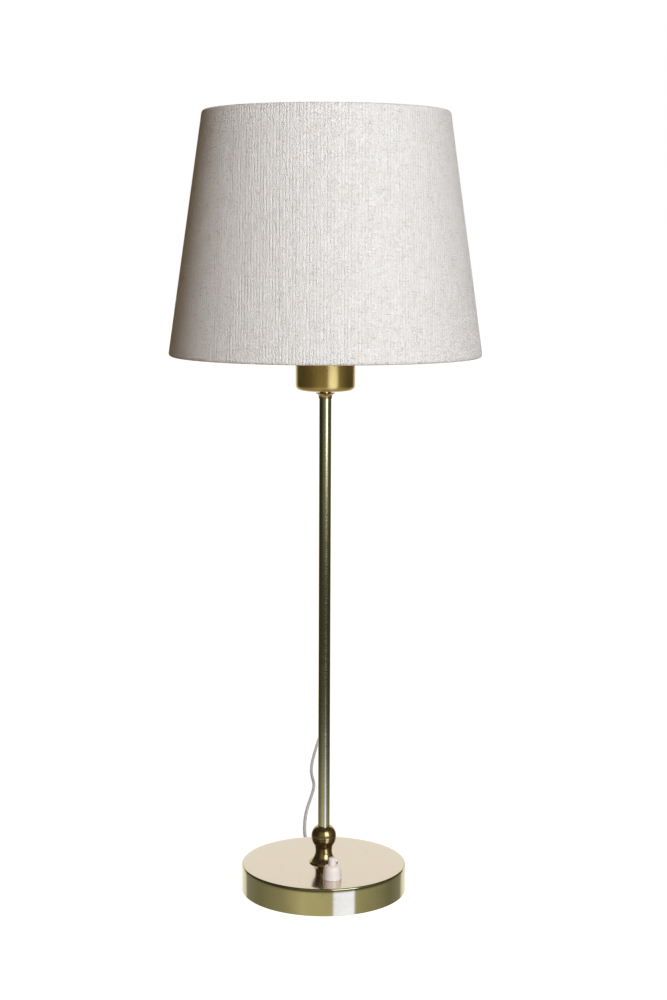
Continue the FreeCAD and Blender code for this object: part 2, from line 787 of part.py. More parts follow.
def shade_parts():
    wire = d.wire_diameter / 2
    wrap = wire + d.hem_gap
    outside = wrap + d.fabric_thickness
    low_radius = d.shade_bottom_diameter / 2 - outside
    high_radius = d.shade_top_diameter / 2 - outside
    low = shade_bottom + outside
    high = shade_bottom + d.shade_height - outside
    run = low_radius - high_radius
    rise = high - low
    slant = (run * run + rise * rise).root()
    along_r = run / slant
    along_z = rise / slant

    def at(radius, height, out, down):
        """A point beside the slope: out from the wire's centre and down along the wall."""
        return (radius + along_z * out + along_r * down, height + along_r * out - along_z * down)

    def corner(radius, height, out, down, arc=None):
        place_of = at(radius, height, out, down)
        return place_of + (arc,) if arc else place_of

    hem = d.hem_depth
    none = as_size(0)
    fabric = turned("fabric_cone", [
        corner(low_radius, low, outside, none),
        corner(high_radius, high, outside, none, bend(outside, 1)),
        corner(high_radius, high, none, none - outside, bend(outside, 1)),
        corner(high_radius, high, none - outside, none),
        corner(high_radius, high, none - outside, hem),
        corner(high_radius, high, none - wrap, hem),
        corner(high_radius, high, none - wrap, none, bend(wrap, -1)),
        corner(high_radius, high, none, none - wrap, bend(wrap, -1)),
        corner(high_radius, high, wrap, none),
        corner(low_radius, low, wrap, none, bend(wrap, -1)),
        corner(low_radius, low, none, wrap, bend(wrap, -1)),
        corner(low_radius, low, none - wrap, none),
        corner(low_radius, low, none - wrap, none - hem),
        corner(low_radius, low, none - outside, none - hem),
        corner(low_radius, low, none - outside, none, bend(outside, 1)),
        corner(low_radius, low, none, outside, bend(outside, 1)),
    ])
    face = wrap - d.hem_gap
    back = face - d.lining_thickness
    edge = wire + d.lining_margin
    keep(turned("shade_lining", [
        corner(low_radius, low, face, none - edge),
        corner(high_radius, high, face, edge),
        corner(high_radius, high, back, edge),
        corner(low_radius, low, back, none - edge),
    ]))
    top = doc.addObject("Part::Torus", "shade_top_ring")
    bind(top, "Radius1", high_radius)
    bind(top, "Radius2", wire)
    keep(place(top, 0, 0, high))

    bottom = doc.addObject("Part::Torus", "frame_bottom_ring")
    bind(bottom, "Radius1", low_radius)
    bind(bottom, "Radius2", wire)
    place(bottom, 0, 0, low)
    fitter = sleeve("frame_fitter_ring", d.fitter_bore_radius, d.fitter_outer_radius,
                    fitter_bottom, fitter_top)
    spoke_inner = (d.fitter_bore_radius + d.fitter_outer_radius) / 2
    spoke_height = (fitter_bottom + fitter_top) / 2
    reach = low_radius - spoke_inner
    drop = spoke_height - low
    length = (reach * reach + drop * drop).root()
    tilt = 90 + math.degrees(math.atan2(drop.number, reach.number))
    down = FreeCAD.Rotation(FreeCAD.Vector(0, 1, 0), tilt)
    pieces = [bottom, fitter]
    notches = []
    count = int(SIZES["spoke_count"])
    for number in range(count):
        angle = d.first_spoke_angle + number * 360 / count
        turn = FreeCAD.Rotation(FreeCAD.Vector(0, 0, 1), angle.number)
        spoke = cylinder("frame_spoke%d" % number, d.spoke_diameter / 2, length)
        place(spoke, spoke_inner * angle.cosine(), spoke_inner * angle.sine(),
              spoke_height, turn.multiply(down))
        pieces.append(spoke)
        # the hem's inner lip is slit where a spoke passes through it
        slit = d.wire_diameter * (NOTCH_END_SHARE - NOTCH_START_SHARE)
        share = d.wire_diameter * NOTCH_END_SHARE / length
        notch = cylinder("fabric_notch%d" % number, d.spoke_diameter / 2 + d.hole_gap, slit)
        away = spoke_inner + reach * (as_size(1) - share)
        place(notch, away * angle.cosine(), away * angle.sine(),
              spoke_height - drop * (as_size(1) - share), turn.multiply(down))
        notches.append(notch)
    keep(fused("shade_frame", pieces))
    keep(cut("shade_fabric", fabric, notches))


def bulb_parts():
    contact_top = bulb_seat + d.bulb_contact_height
    shoulder = contact_top + d.bulb_insulator_height
    cap_bottom_edge = shoulder + d.bulb_cap_cone
    cap_rim = cap_bottom_edge + d.bulb_cap_height
    top = bulb_seat + d.bulb_length
    centre = top - d.bulb_radius
    across = d.bulb_neck_radius + d.bulb_neck_bend
    reach = d.bulb_radius + d.bulb_neck_bend
    fall = (reach * reach - across * across).root()
    neck_top = centre - fall
    wall = d.bulb_wall
    glass_foot = cap_rim - d.bulb_foot_depth
    inner_globe = d.bulb_radius - wall
    inner_bend = d.bulb_neck_bend + wall
    keep(turned("bulb_glass", [
        (d.bulb_foot_radius - wall, glass_foot),
        (d.bulb_foot_radius, glass_foot),
        (d.bulb_foot_radius, cap_rim),
        (d.bulb_neck_radius, cap_rim + d.bulb_cap_cone),
        (d.bulb_neck_radius, neck_top, bend(d.bulb_neck_bend, -1)),
        (across / reach * d.bulb_radius, centre - fall / reach * d.bulb_radius,
         bend(d.bulb_radius, 1)),
        (d.bulb_radius, centre, bend(d.bulb_radius, 1)),
        (0, top),
        (0, top - wall, bend(inner_globe, -1)),
        (inner_globe, centre, bend(inner_globe, -1)),
        (across / reach * inner_globe, centre - fall / reach * inner_globe,
         bend(inner_bend, 1)),
        (d.bulb_neck_radius - wall, neck_top),
        (d.bulb_neck_radius - wall, cap_rim + d.bulb_cap_cone),
        (d.bulb_foot_radius - wall, cap_rim),
    ]))
    cap_wall = d.bulb_cap_wall
    keep(turned("bulb_cap", [
        (d.bulb_cap_radius - cap_wall, cap_rim),
        (d.bulb_cap_radius - cap_wall, cap_bottom_edge),
        (d.bulb_insulator_radius - cap_wall, shoulder + cap_wall),
        (d.bulb_insulator_radius - cap_wall, shoulder),
        (d.bulb_insulator_radius, shoulder),
        (d.bulb_cap_radius, cap_bottom_edge),
        (d.bulb_cap_radius, cap_rim),
    ]))
    keep(turned("bulb_insulator", [
        (0, contact_top),
        (d.bulb_contact_radius, contact_top),
        (d.bulb_insulator_radius, shoulder),
        (0, shoulder),
    ]))
    keep(turned("bulb_contact", [
        (0, bulb_seat),
        (d.contact_tip_radius, bulb_seat),
        (d.bulb_contact_radius, contact_top),
        (0, contact_top),
    ]))


def switch_parts():
    top = d.base_height
    neck = d.switch_neck_radius
    neck_top = roof + d.switch_neck_height
    bell_bore = neck + d.hole_gap
    knob_bore = d.knob_radius + d.hole_gap
    shelf = neck_top + d.hole_gap
    bell = turned("switch_bell", [
        (bell_bore, top),
        (d.bell_base_radius, top),
        (d.bell_base_radius, top + d.bell_foot),
        (d.bell_shoulder_radius, top + d.bell_shoulder_height, bend(d.bell_shoulder_bend, 1)),
        (knob_bore + d.hole_gap, top + d.bell_height),
        (knob_bore, top + d.bell_height),
        (knob_bore, shelf),
        (bell_bore, shelf),
    ])
    keep(place(bell, d.switch_right, switch_y, 0))

    knob_base = top + d.bell_height - d.knob_sink
    knob_height = top + d.bell_height + d.knob_top
    body_bottom = roof - d.switch_body_height
    cam_bottom = body_bottom + d.cam_lift
    turned_knob = turned("knob_turning", [
        (0, cam_bottom),
        (d.spindle_radius, cam_bottom),
        (d.spindle_radius, knob_base),
        (d.knob_radius, knob_base),
        (d.knob_radius, knob_height - d.knob_round, bend(d.knob_round, 1)),
        (d.knob_radius - d.knob_round, knob_height),
        (0, knob_height),
    ])
    place(turned_knob, d.switch_right, switch_y, 0)
    lobe = cylinder("knob_lobe", d.knob_lobe_radius, d.knob_lobe_height)
    place(lobe, d.switch_right + d.knob_radius, switch_y,
          knob_height - d.knob_round / 2 - d.knob_lobe_height)
    cam = block("knob_cam", d.cam_length, d.cam_width, d.cam_height)
    place(cam, d.switch_right - d.cam_length / 2, switch_y - d.cam_width / 2, cam_bottom)
    keep(fused("switch_knob", [turned_knob, lobe, cam]))

    outer = block("switch_body_block", d.switch_body_width, d.switch_body_depth,
                  d.switch_body_height)
    left = d.switch_right - d.switch_body_width / 2
    front = switch_y - d.switch_body_depth / 2
    place(outer, left, front, body_bottom)
    threaded = cylinder("switch_body_neck", neck, d.switch_neck_height + d.switch_roof)
    place(threaded, d.switch_right, switch_y, roof - d.switch_roof)
    hollow = block("switch_body_hollow", d.switch_body_width - d.switch_wall * 2,
                   d.switch_body_depth - d.switch_wall * 2, d.switch_body_height - d.switch_roof)
    place(hollow, left + d.switch_wall, front + d.switch_wall, body_bottom)
    bore = cylinder("switch_body_bore", d.spindle_radius + d.slide_gap,
                    d.switch_neck_height + d.switch_roof * 3)
    place(bore, d.switch_right, switch_y, roof - d.switch_roof * 2)
    keep(cut("switch_body", fused("switch_body_blank", [outer, threaded]), [hollow, bore]))
    plate = block("switch_bottom_plate", d.switch_body_width, d.switch_body_depth,
                  d.switch_plate)
    keep(place(plate, left, front, body_bottom - d.switch_plate))
    blades = []
    for number, side in enumerate((-1, 1)):
        blade = block("switch_blade%d" % number, d.blade_thickness, d.blade_width,
                      d.blade_height)
        inset = d.switch_body_width / 2 - d.switch_wall - d.blade_thickness
        middle = d.switch_right + inset * side
        if side < 0:
            middle = d.switch_right - inset - d.blade_thickness
        blades.append(place(blade, middle, switch_y - d.blade_width / 2, body_bottom))
    keep(together("switch_contact_blades", blades))


def entry_parts():
    """Bushing with its tapered sleeve, clamp and screws, turned about the cord's own axis."""
    flange_face = half_base + d.slide_gap
    tip = half_base + d.sleeve_length
    inner_face = ballast_inner - d.slide_gap
    bushing = turned("cord_bushing", [
        (cord_bore, inner_face - d.bushing_collar),
        (d.bushing_collar_radius, inner_face - d.bushing_collar),
        (d.bushing_collar_radius, inner_face - d.hole_gap),
        (d.bushing_radius, inner_face - d.hole_gap),
        (d.bushing_radius, flange_face),
        (d.bushing_flange_radius, flange_face),
        (d.bushing_flange_radius, flange_face + d.bushing_flange),
        (d.sleeve_root_radius, flange_face + d.bushing_flange),
        (d.sleeve_tip_radius, tip),
        (cord_bore, tip),
    ])
    keep(place(bushing, 0, 0, d.entry_height, entry_turn.multiply(laid_down)))

    clamp = block("clamp_block", d.clamp_length, d.clamp_width, web_bottom - d.clamp_lift)
    along_entry(clamp, clamp_distance - d.clamp_length / 2, as_size(0) - d.clamp_width / 2)
    bind(clamp, "Placement.Base.z", d.clamp_lift)
    tools = [entry_drill("clamp_bore", cord_bore, clamp_distance - d.clamp_length,
                         clamp_distance + d.clamp_length)]
    screws = []
    for number, (right, back) in enumerate(clamp_screw_places()):
        hole = cylinder("clamp_hole%d" % number, screw_hole, web_bottom)
        tools.append(place(hole, right, back, d.hole_gap))
        screws.append(screw("clamp_screw%d" % number, right, back,
                            d.clamp_lift - d.screw_head_height,
                            web_bottom - d.clamp_lift + d.clamp_screw_bite))
    keep(cut("cord_clamp", clamp, tools))
    keep(together("cord_clamp_screws", screws))


def vector(point):
    return FreeCAD.Vector(*point)


def arc_touching(start, corner, finish):
    """The arc that leaves start towards the corner and arrives at finish from it."""
    middle = (start + finish) * 0.5
    half_chord = (finish - start).Length / 2
    rise = (corner - middle).Length
    sagitta = half_chord * math.tan(math.atan2(rise, half_chord) / 2)
    through = middle + (corner - middle) * (sagitta / rise)
    return Part.Arc(start, through, finish).toShape()


def rounded_route(points, widest=None):
    """Straight runs joined by tangent arcs; gives the edges and the arcs' radii."""
    edges = []
    radii = []
    here = points[0]
    for before, corner, after in zip(points, points[1:], points[2:]):
        arriving = corner - before
        leaving = after - corner
        half_turn = arriving.getAngle(leaving) / 2
        reach = ARC_SHARE * min(arriving.Length, leaving.Length)
        if widest is not None:
            reach = min(reach, widest * math.tan(half_turn))
        start = corner - arriving * (reach / arriving.Length)
        finish = corner + leaving * (reach / leaving.Length)
        edges.append(Part.LineSegment(here, start).toShape())
        edges.append(arc_touching(start, corner, finish))
        radii.append(reach / math.tan(half_turn))
        here = finish
    edges.append(Part.LineSegment(here, points[-1]).toShape())
    return edges, radii


def swept(label, edges, radius):
    """A round tube along joined edges, with its volume compared with section times length."""
    path = Part.Wire(edges)
    start = edges[0].valueAt(edges[0].FirstParameter)
    heading = edges[0].tangentAt(edges[0].FirstParameter)
    ring = Part.Wire([Part.makeCircle(radius, start, heading)])
    solid = path.makePipeShell([ring], True, False)
    if solid.ShapeType != "Solid":
        solid = Part.Solid(solid.Shells[0])
    if solid.Volume < 0:
        solid.reverse()
    length = sum(edge.Length for edge in edges)
    share = solid.Volume / (math.pi * radius ** 2 * length)
    print("%s: length %.1f, volume %.4f of section times length" % (label, length, share))
    item = doc.addObject("Part::Feature", label)
    item.Shape = solid
    return item


def value(name):
    return float(sheet.get(name))


def entry_point(distance, sideways=0.0, up=None):
    across = FreeCAD.Vector(-entry_axis.y, entry_axis.x, 0)
    point = entry_axis * distance + across * sideways
    point.z = value("entry_height") if up is None else up
    return point


def core_parts():
    """The cord's two cores and the switched wire, from the clamp to the lampholder."""
    radius = value("core_diameter") / 2
    spread = value("core_spread")
    low = plate_top.number + radius * 2
    widest = value("core_bend")
    top = insert_bottom.number - radius - value("hole_gap") * 2
    end = value("terminal_offset") - value("screw_head_radius") - value("slide_gap")
    tail = tail_end.number
    back_of_switch = switch_y.number + value("switch_body_depth") / 2
    hall = nut_bottom.number + value("nut_height") / 2
    right_blade = value("switch_right") + value("blade_width")
    left_blade = value("switch_right") - value("blade_width")
    clear = value("washer_diameter")

    def up_the_rod(side):
        """From under the rod, up through its bore and across to a terminal screw."""
        x = spread * side
        return [
            FreeCAD.Vector(x, 0, low),
            FreeCAD.Vector(x, 0, rod_top.number + radius * 2),
            FreeCAD.Vector(x * 2.6, 0, top),
            FreeCAD.Vector(end * side, 0, top),
        ]

    neutral = [entry_point(tail, spread), entry_point(tail * 0.6, spread),
               entry_point(tail * 0.25, spread, low)] + up_the_rod(-1)
    live_in = [
        entry_point(tail, -spread),
        entry_point(tail * 0.8, -spread),
        FreeCAD.Vector(clear, clear / 4, low),
        FreeCAD.Vector(clear, -clear, low),
        FreeCAD.Vector(right_blade, back_of_switch + clear / 3, hall),
        FreeCAD.Vector(right_blade, back_of_switch, hall),
    ]
    live_out = [
        FreeCAD.Vector(left_blade, back_of_switch, hall),
        FreeCAD.Vector(left_blade, back_of_switch + clear / 3, hall),
        FreeCAD.Vector(spread, -clear / 2, low),
    ] + up_the_rod(1)
    for label, points in (("neutral_wire", neutral), ("live_wire", live_in),
                          ("switched_wire", live_out)):
        edges, radii = rounded_route(points, widest)
        print(label, "bend radii", ["%.1f" % bend_radius for bend_radius in radii])
        keep(swept(label, edges, radius))


def hank_offset(number):
    """How far run number lies from the hank's middle: in to the climb, then out again."""
    return value("hank_inner_radius") + value("hank_pitch") * abs(number - CLIMBING_RUN)


def hank_nodes():
    """Points with headings that the hank's tube passes, in order."""
    radius = value("cord_diameter") / 2
    low = value("tie_thickness") + radius + value("slide_gap") * 2
    high = low + value("cord_diameter") + value("hank_layer_gap")
    half = value("hank_run_length") / 2
    middle = -value("hank_centre_left")
    centre = value("hank_centre_back")
    draw = value("hank_waist_draw")
    nodes_of_path = []
    for number in range(HANK_RUNS):
        side = 1 if number % 2 == 0 else -1
        heading = FreeCAD.Vector(-side, 0, 0)
        offset = hank_offset(number)
        first = low if number <= CLIMBING_RUN else high
        last = low if number < CLIMBING_RUN else high
        start = FreeCAD.Vector(middle + half * side, centre + side * offset, first)
        nodes_of_path.append((start, heading))
        if number == HANK_RUNS - 1:
            finish = start + heading * value("hank_last_run")
            nodes_of_path.append((finish, heading))
            continue
        slope = FreeCAD.Vector(heading.x, 0, (last - first) / half)
        waist = FreeCAD.Vector(middle, centre + side * (offset - draw), (first + last) / 2)
        nodes_of_path.append((waist, slope.normalize()))
        finish = FreeCAD.Vector(middle - half * side, centre + side * offset, last)
        nodes_of_path.append((finish, heading))
    return nodes_of_path


def biarc(start, heading, finish, arrival):
    """Two arcs that leave start along heading and reach finish along arrival."""
    span = finish - start
    total = heading + arrival
    squeeze = 2 * (1 - heading.dot(arrival))
    if squeeze < 1e-9:
        reach = span.dot(span) / (4 * span.dot(arrival))
    else:
        along = span.dot(total)
        reach = (math.sqrt(along ** 2 + squeeze * span.dot(span)) - along) / squeeze
    first = start + heading * reach
    second = finish - arrival * reach
    joint = (first + second) * 0.5
    edges = []
    for begin, corner, end in ((start, first, joint), (joint, second, finish)):
        bow = (corner - (begin + end) * 0.5).Length
        if bow < 1e-6:
            edges.append(Part.LineSegment(begin, end).toShape())
        else:
            edges.append(arc_touching(begin, corner, end))
    return edges


def least_gap(edges, diameter):
    """The least gap between stretches of the tube that aren't neighbours along it."""
    step = diameter / 3
    points = []
    for edge in edges:
        count = max(2, int(edge.Length / step))
        points += edge.discretize(count)[:-1]
    skip = 6 * 3
    least = None
    for number, point in enumerate(points):
        for other in points[number + skip:]:
            distance = (point - other).Length
            if least is None or distance < least:
                least = distance
    return least - diameter


def cord_parts():
    radius = value("cord_diameter") / 2
    wall = value("base_diameter") / 2
    diameter = value("cord_diameter")
    path = hank_nodes()
    start, heading = path[0]
    entry = start - heading * diameter
    edges = [Part.LineSegment(entry, start).toShape()]
    for (begin, out), (end, into) in zip(path, path[1:]):
        edges += biarc(begin, out, end, into)
    print("hank: least gap between turns %.2f" % least_gap(edges, diameter))
    last = path[-1][0]

    wall += value("sleeve_length")
    tail = [Part.LineSegment(entry_point(tail_end.number),
                             entry_point(wall)).toShape()]
    keep(swept("cord_tail", tail, radius))
    lead = [entry_point(wall)] + [vector(point) for point in LEAD_ROUTE] + [entry]
    lead_edges, radii = rounded_route(lead)
    print("cord_lead radii", ["%.1f" % number for number in radii])
    keep(swept("cord_lead", lead_edges, radius))
    keep(swept("cord_hank", edges, radius))
    run = [last] + [vector(point) for point in RUN_ROUTE] + [vector(PLUG_START)]
    run_edges, radii = rounded_route(run)
    print("cord_run radii", ["%.1f" % number for number in radii])
    keep(swept("cord_run", run_edges, radius))
    whole = sum(edge.Length for edge in lead_edges + edges + run_edges)
    print("cord from the sleeve's tip to the plug: %.1f" % whole)


def tie_part():
    """The strap round the hank's waist."""
    radius = d.cord_diameter / 2
    inner_bottom = d.tie_thickness + d.slide_gap
    layers = d.cord_diameter * 2 + d.hank_layer_gap + d.slide_gap * 3
    widest = d.hank_inner_radius + d.hank_pitch * CLIMBING_RUN - d.hank_waist_draw
    back = widest + radius + d.hole_gap
    front = widest - d.hank_pitch + radius + d.hole_gap
    thickness = d.tie_thickness
    outer = block("tie_outer", d.tie_width, front + back + thickness * 2,
                  layers + thickness * 2)
    inner = block("tie_inner", d.tie_width * 3, front + back, layers)
    x = as_size(0) - d.hank_centre_left
    place(outer, x - d.tie_width / 2, d.hank_centre_back - front - thickness,
          inner_bottom - thickness)
    place(inner, x - d.tie_width * 1.5, d.hank_centre_back - front, inner_bottom)
    keep(cut("hank_tie", outer, [inner]))


def plug_parts():
    """A flat two-pin plug that stands on its narrow edge, pins to the back."""
    x, y, z = PLUG_START
    half = d.plug_width / 2
    tail = d.plug_tail_width / 2
    length = d.plug_length
    chamfer = d.plug_face_chamfer
    shoulder = length - chamfer
    floor = half
    body = extruded("plug_shell", [
        (d.plug_tail_length, floor - tail),
        (d.plug_tail_length + chamfer, 0),
        (d.plug_tail_length + shoulder, 0),
        (d.plug_tail_length + length, floor - d.pin_spacing / 2 - d.pin_diameter),
        (d.plug_tail_length + length, floor + d.pin_spacing / 2 + d.pin_diameter),
        (d.plug_tail_length + shoulder, floor + half),
        (d.plug_tail_length + chamfer, floor + half),
        (d.plug_tail_length, floor + tail),
    ], d.plug_thickness)
    upright = FreeCAD.Rotation(FreeCAD.Vector(0, 1, 0), FreeCAD.Vector(0, 0, 1),
                               FreeCAD.Vector(1, 0, 0), "XYZ")
    place(body, as_size(x) - d.plug_thickness / 2, y, as_size(z) - half, upright)
    sleeve_body = turned("plug_sleeve_blank", [
        (0, 0),
        (d.plug_sleeve_tip, 0),
        (d.plug_sleeve_root, d.plug_tail_length),
        (d.plug_sleeve_root, d.plug_tail_length + chamfer),
        (0, d.plug_tail_length + chamfer),
    ])
    backwards = FreeCAD.Rotation(FreeCAD.Vector(1, 0, 0), -90)
    place(sleeve_body, x, y, z, backwards)
    whole = fused("plug_blank", [body, sleeve_body])
    holes = []
    pins = []
    face = as_size(y) + d.plug_tail_length + length
    for number, side in enumerate((-1, 1)):
        hole = cylinder("plug_hole%d" % number, d.pin_diameter / 2 + d.slide_gap,
                        d.pin_sink * 2)
        place(hole, x, face - d.pin_sink, as_size(z) + d.pin_spacing / 2 * side, backwards)
        holes.append(hole)
        pin = cylinder("plug_pin%d" % number, d.pin_diameter / 2, d.pin_sink + d.pin_length)
        place(pin, x, face - d.pin_sink, as_size(z) + d.pin_spacing / 2 * side, backwards)
        pins.append(pin)
    keep(cut("plug_body", whole, holes))
    keep(together("plug_pins", pins))


def report_bad(items):
    for item in items:
        if "Invalid" in item.State or "Error" in item.State:
            raise RuntimeError("%s is %s" % (item.Label, item.State))
    for item in nodes:
        shape = item.Shape
        if shape.isNull() or not shape.isValid() or not shape.Solids:
            raise RuntimeError("%s has no valid solid" % item.Label)


def main():
    base_parts()
    rod_parts()
    stem_parts()
    holder_parts()
    shade_parts()
    bulb_parts()
    switch_parts()
    entry_parts()
    core_parts()
    cord_parts()
    tie_part()
    plug_parts()
    doc.recompute()
    report_bad(doc.Objects)
    os.makedirs("parts", exist_ok=True)
    for item in nodes:
        item.Shape.exportStep(os.path.join("parts", item.Label + ".step"))
        box = item.Shape.optimalBoundingBox(False)
        print("%-28s %2d solids  x %.1f..%.1f  y %.1f..%.1f  z %.1f..%.1f" % (
            item.Label, len(item.Shape.Solids), box.XMin, box.XMax, box.YMin, box.YMax,
            box.ZMin, box.ZMax))


main()
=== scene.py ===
"""Table lamp with a linen shade: brass base and stem, turn switch on the base, cord and plug."""

from math import atan2, cos, hypot, pi, radians, sin, sqrt, tau

import bmesh
import bpy
from mathutils import Matrix, Vector


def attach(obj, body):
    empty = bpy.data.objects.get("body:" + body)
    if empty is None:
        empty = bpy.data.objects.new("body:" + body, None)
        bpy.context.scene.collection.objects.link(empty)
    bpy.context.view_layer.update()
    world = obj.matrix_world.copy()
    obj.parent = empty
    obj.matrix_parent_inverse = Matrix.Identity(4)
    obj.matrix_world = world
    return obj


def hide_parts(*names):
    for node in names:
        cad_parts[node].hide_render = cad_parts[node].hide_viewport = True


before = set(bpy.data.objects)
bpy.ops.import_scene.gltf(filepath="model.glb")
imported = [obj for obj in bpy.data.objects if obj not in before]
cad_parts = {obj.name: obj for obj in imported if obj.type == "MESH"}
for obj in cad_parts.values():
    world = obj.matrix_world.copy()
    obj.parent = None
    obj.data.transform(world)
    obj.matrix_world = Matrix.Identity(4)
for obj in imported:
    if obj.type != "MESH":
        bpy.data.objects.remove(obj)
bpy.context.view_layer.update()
scene = bpy.context.scene
scene.view_settings.view_transform = "Standard"

MM = 0.001


def mm(*lengths):
    """A point given in millimetres."""
    return Vector(length * MM for length in lengths)


def add_object(name, data):
    made = bpy.data.objects.new(name, data)
    scene.collection.objects.link(made)
    return made


def mesh_of(name, bm):
    mesh = bpy.data.meshes.new(name)
    bm.to_mesh(mesh)
    bm.free()
    return mesh


# Camera

CAMERA_AT = (0, -1600, 566)
PITCH, YAW, ROLL = radians(7.72), radians(0.264), radians(0.24)
FOCAL_PIXELS, PICTURE_PIXELS, SENSOR_WIDTH = 1864, 1000, 36


def aim_camera():
    pitch, yaw, roll = PITCH, YAW, ROLL
    ahead = Vector((sin(yaw) * cos(pitch), cos(yaw) * cos(pitch), -sin(pitch)))
    level = ahead.cross(Vector((0, 0, 1))).normalized()
    upright = level.cross(ahead)
    right = level * cos(roll) + upright * sin(roll)
    up = upright * cos(roll) - level * sin(roll)
    data = bpy.data.cameras.new("product_camera")
    data.lens = SENSOR_WIDTH * FOCAL_PIXELS / PICTURE_PIXELS
    data.sensor_width = SENSOR_WIDTH
    data.clip_start = 0.05
    data.clip_end = 60
    camera = add_object("product_camera", data)
    turn = Matrix((right, up, -ahead)).transposed().to_4x4()
    camera.matrix_world = Matrix.Translation(mm(*CAMERA_AT)) @ turn
    scene.camera = camera


aim_camera()


# Node helpers

class Nodes:
    """Adds nodes to one tree and joins them."""

    def __init__(self, tree):
        self.tree = tree

    def add(self, kind, inputs=None, **settings):
        node = self.tree.nodes.new(kind)
        for name, setting in settings.items():
            setattr(node, name, setting)
        for name, given in (inputs or {}).items():
            self.give(node.inputs[name], given)
        return node

    def give(self, socket, given):
        if isinstance(given, bpy.types.NodeSocket):
            self.tree.links.new(given, socket)
        else:
            socket.default_value = given

    def sum(self, operation, first, second=0.0, third=None):
        node = self.tree.nodes.new("ShaderNodeMath")
        node.operation = operation
        self.give(node.inputs[0], first)
        self.give(node.inputs[1], second)
        if third is not None:
            self.give(node.inputs[2], third)
        return node.outputs[0]

    def stretch(self, vector, scale):
        node = self.add("ShaderNodeMapping", {"Vector": vector, "Scale": scale})
        return node.outputs[0]

    def noise(self, vector, scale, detail=2.0, roughness=0.5, distortion=0.0):
        node = self.add("ShaderNodeTexNoise", {
            "Vector": vector, "Scale": scale, "Detail": detail,
            "Roughness": roughness, "Distortion": distortion})
        return node.outputs[0]

    def streaks(self, vector, across, along, *how):
        """Noise drawn out by its scales across and along."""
        return self.noise(self.stretch(vector, (across, along, 1)), 1.0, *how)

    def fit(self, number, low, high, to_low=0.0, to_high=1.0):
        node = self.add("ShaderNodeMapRange", {
            "Value": number, "From Min": low, "From Max": high,
            "To Min": to_low, "To Max": to_high}, interpolation_type="SMOOTHSTEP")
        return node.outputs[0]

    def blend(self, share, first, second, way="MIX"):
        node = self.add("ShaderNodeMix", data_type="RGBA", blend_type=way)
        self.give(node.inputs[0], share)
        self.give(node.inputs[6], first)
        self.give(node.inputs[7], second)
        return node.outputs[2]

    def wash(self, base, mask, strength, tone):
        """A tone laid over the base colour where the mask is high."""
        return self.blend(self.sum("MULTIPLY", mask, strength), base, colour(*tone))

    def bump(self, shader, height, strength, distance):
        node = self.add("ShaderNodeBump", {"Height": height, "Strength": strength,
                                           "Distance": distance})
        self.give(shader.inputs["Normal"], node.outputs[0])

    def parts(self, vector):
        return self.add("ShaderNodeSeparateXYZ", {"Vector": vector}).outputs

    def reach(self, at):
        """How far a place is from the upright axis."""
        return self.sum("SQRT", self.sum("ADD", self.sum("MULTIPLY", at[0], at[0]),
                                         self.sum("MULTIPLY", at[1], at[1])))

    def group(self, tree, **inputs):
        node = self.tree.nodes.new("ShaderNodeGroup")
        node.node_tree = tree
        for name, given in inputs.items():
            self.give(node.inputs[name.replace("_", " ")], given)
        return node.outputs


def new_group(name, takes, gives):
    tree = bpy.data.node_groups.new(name, "ShaderNodeTree")
    for label, default in takes.items():
        kind = "NodeSocketVector" if label == "Vector" else "NodeSocketFloat"
        socket = tree.interface.new_socket(label, in_out="INPUT", socket_type=kind)
        if label != "Vector":
            socket.default_value = default
    for label in gives:
        tree.interface.new_socket(label, in_out="OUTPUT", socket_type="NodeSocketFloat")
    nodes = Nodes(tree)
    return nodes, nodes.add("NodeGroupInput").outputs, nodes.add("NodeGroupOutput").inputs


def turned_marks():
    """Fine rings left by the lathe, cloudy smudges and small specks."""
    nodes, given, out = new_group("Turned marks", {"Vector": 0, "Ring density": 1800.0},
                                  ["Rings", "Smudges", "Specks"])
    at = nodes.parts(given["Vector"])
    round_it = nodes.sum("MULTIPLY", nodes.sum("ARCTAN2", at[1], at[0]), 0.0006)
    rings_at = nodes.add("ShaderNodeCombineXYZ", {0: nodes.reach(at), 1: at[2], 2: round_it})
    nodes.give(out["Rings"], nodes.noise(rings_at.outputs[0], given["Ring density"], 3.0, 0.6))
    clouds = nodes.noise(given["Vector"], 42.0, 5.0, 0.6, 0.6)
    nodes.give(out["Smudges"], nodes.fit(clouds, 0.42, 0.72))
    dots = nodes.noise(given["Vector"], 420.0, 1.0)
    nodes.give(out["Specks"], nodes.fit(dots, 0.74, 0.80))
    return nodes.tree


def moulded_grain():
    """Fine texture of a moulded or cast surface, with slow clouds of tone."""
    nodes, given, out = new_group("Moulded grain", {"Vector": 0, "Grain density": 2500.0},
                                  ["Grain", "Clouds", "Dust"])
    nodes.give(out["Grain"], nodes.noise(given["Vector"], given["Grain density"], 4.0, 0.6))
    nodes.give(out["Clouds"], nodes.noise(given["Vector"], 60.0, 4.0, 0.55, 0.3))
    nodes.give(out["Dust"], nodes.fit(nodes.noise(given["Vector"], 900.0, 2.0), 0.66, 0.8))
    return nodes.tree


LINE_PITCH = 0.0027


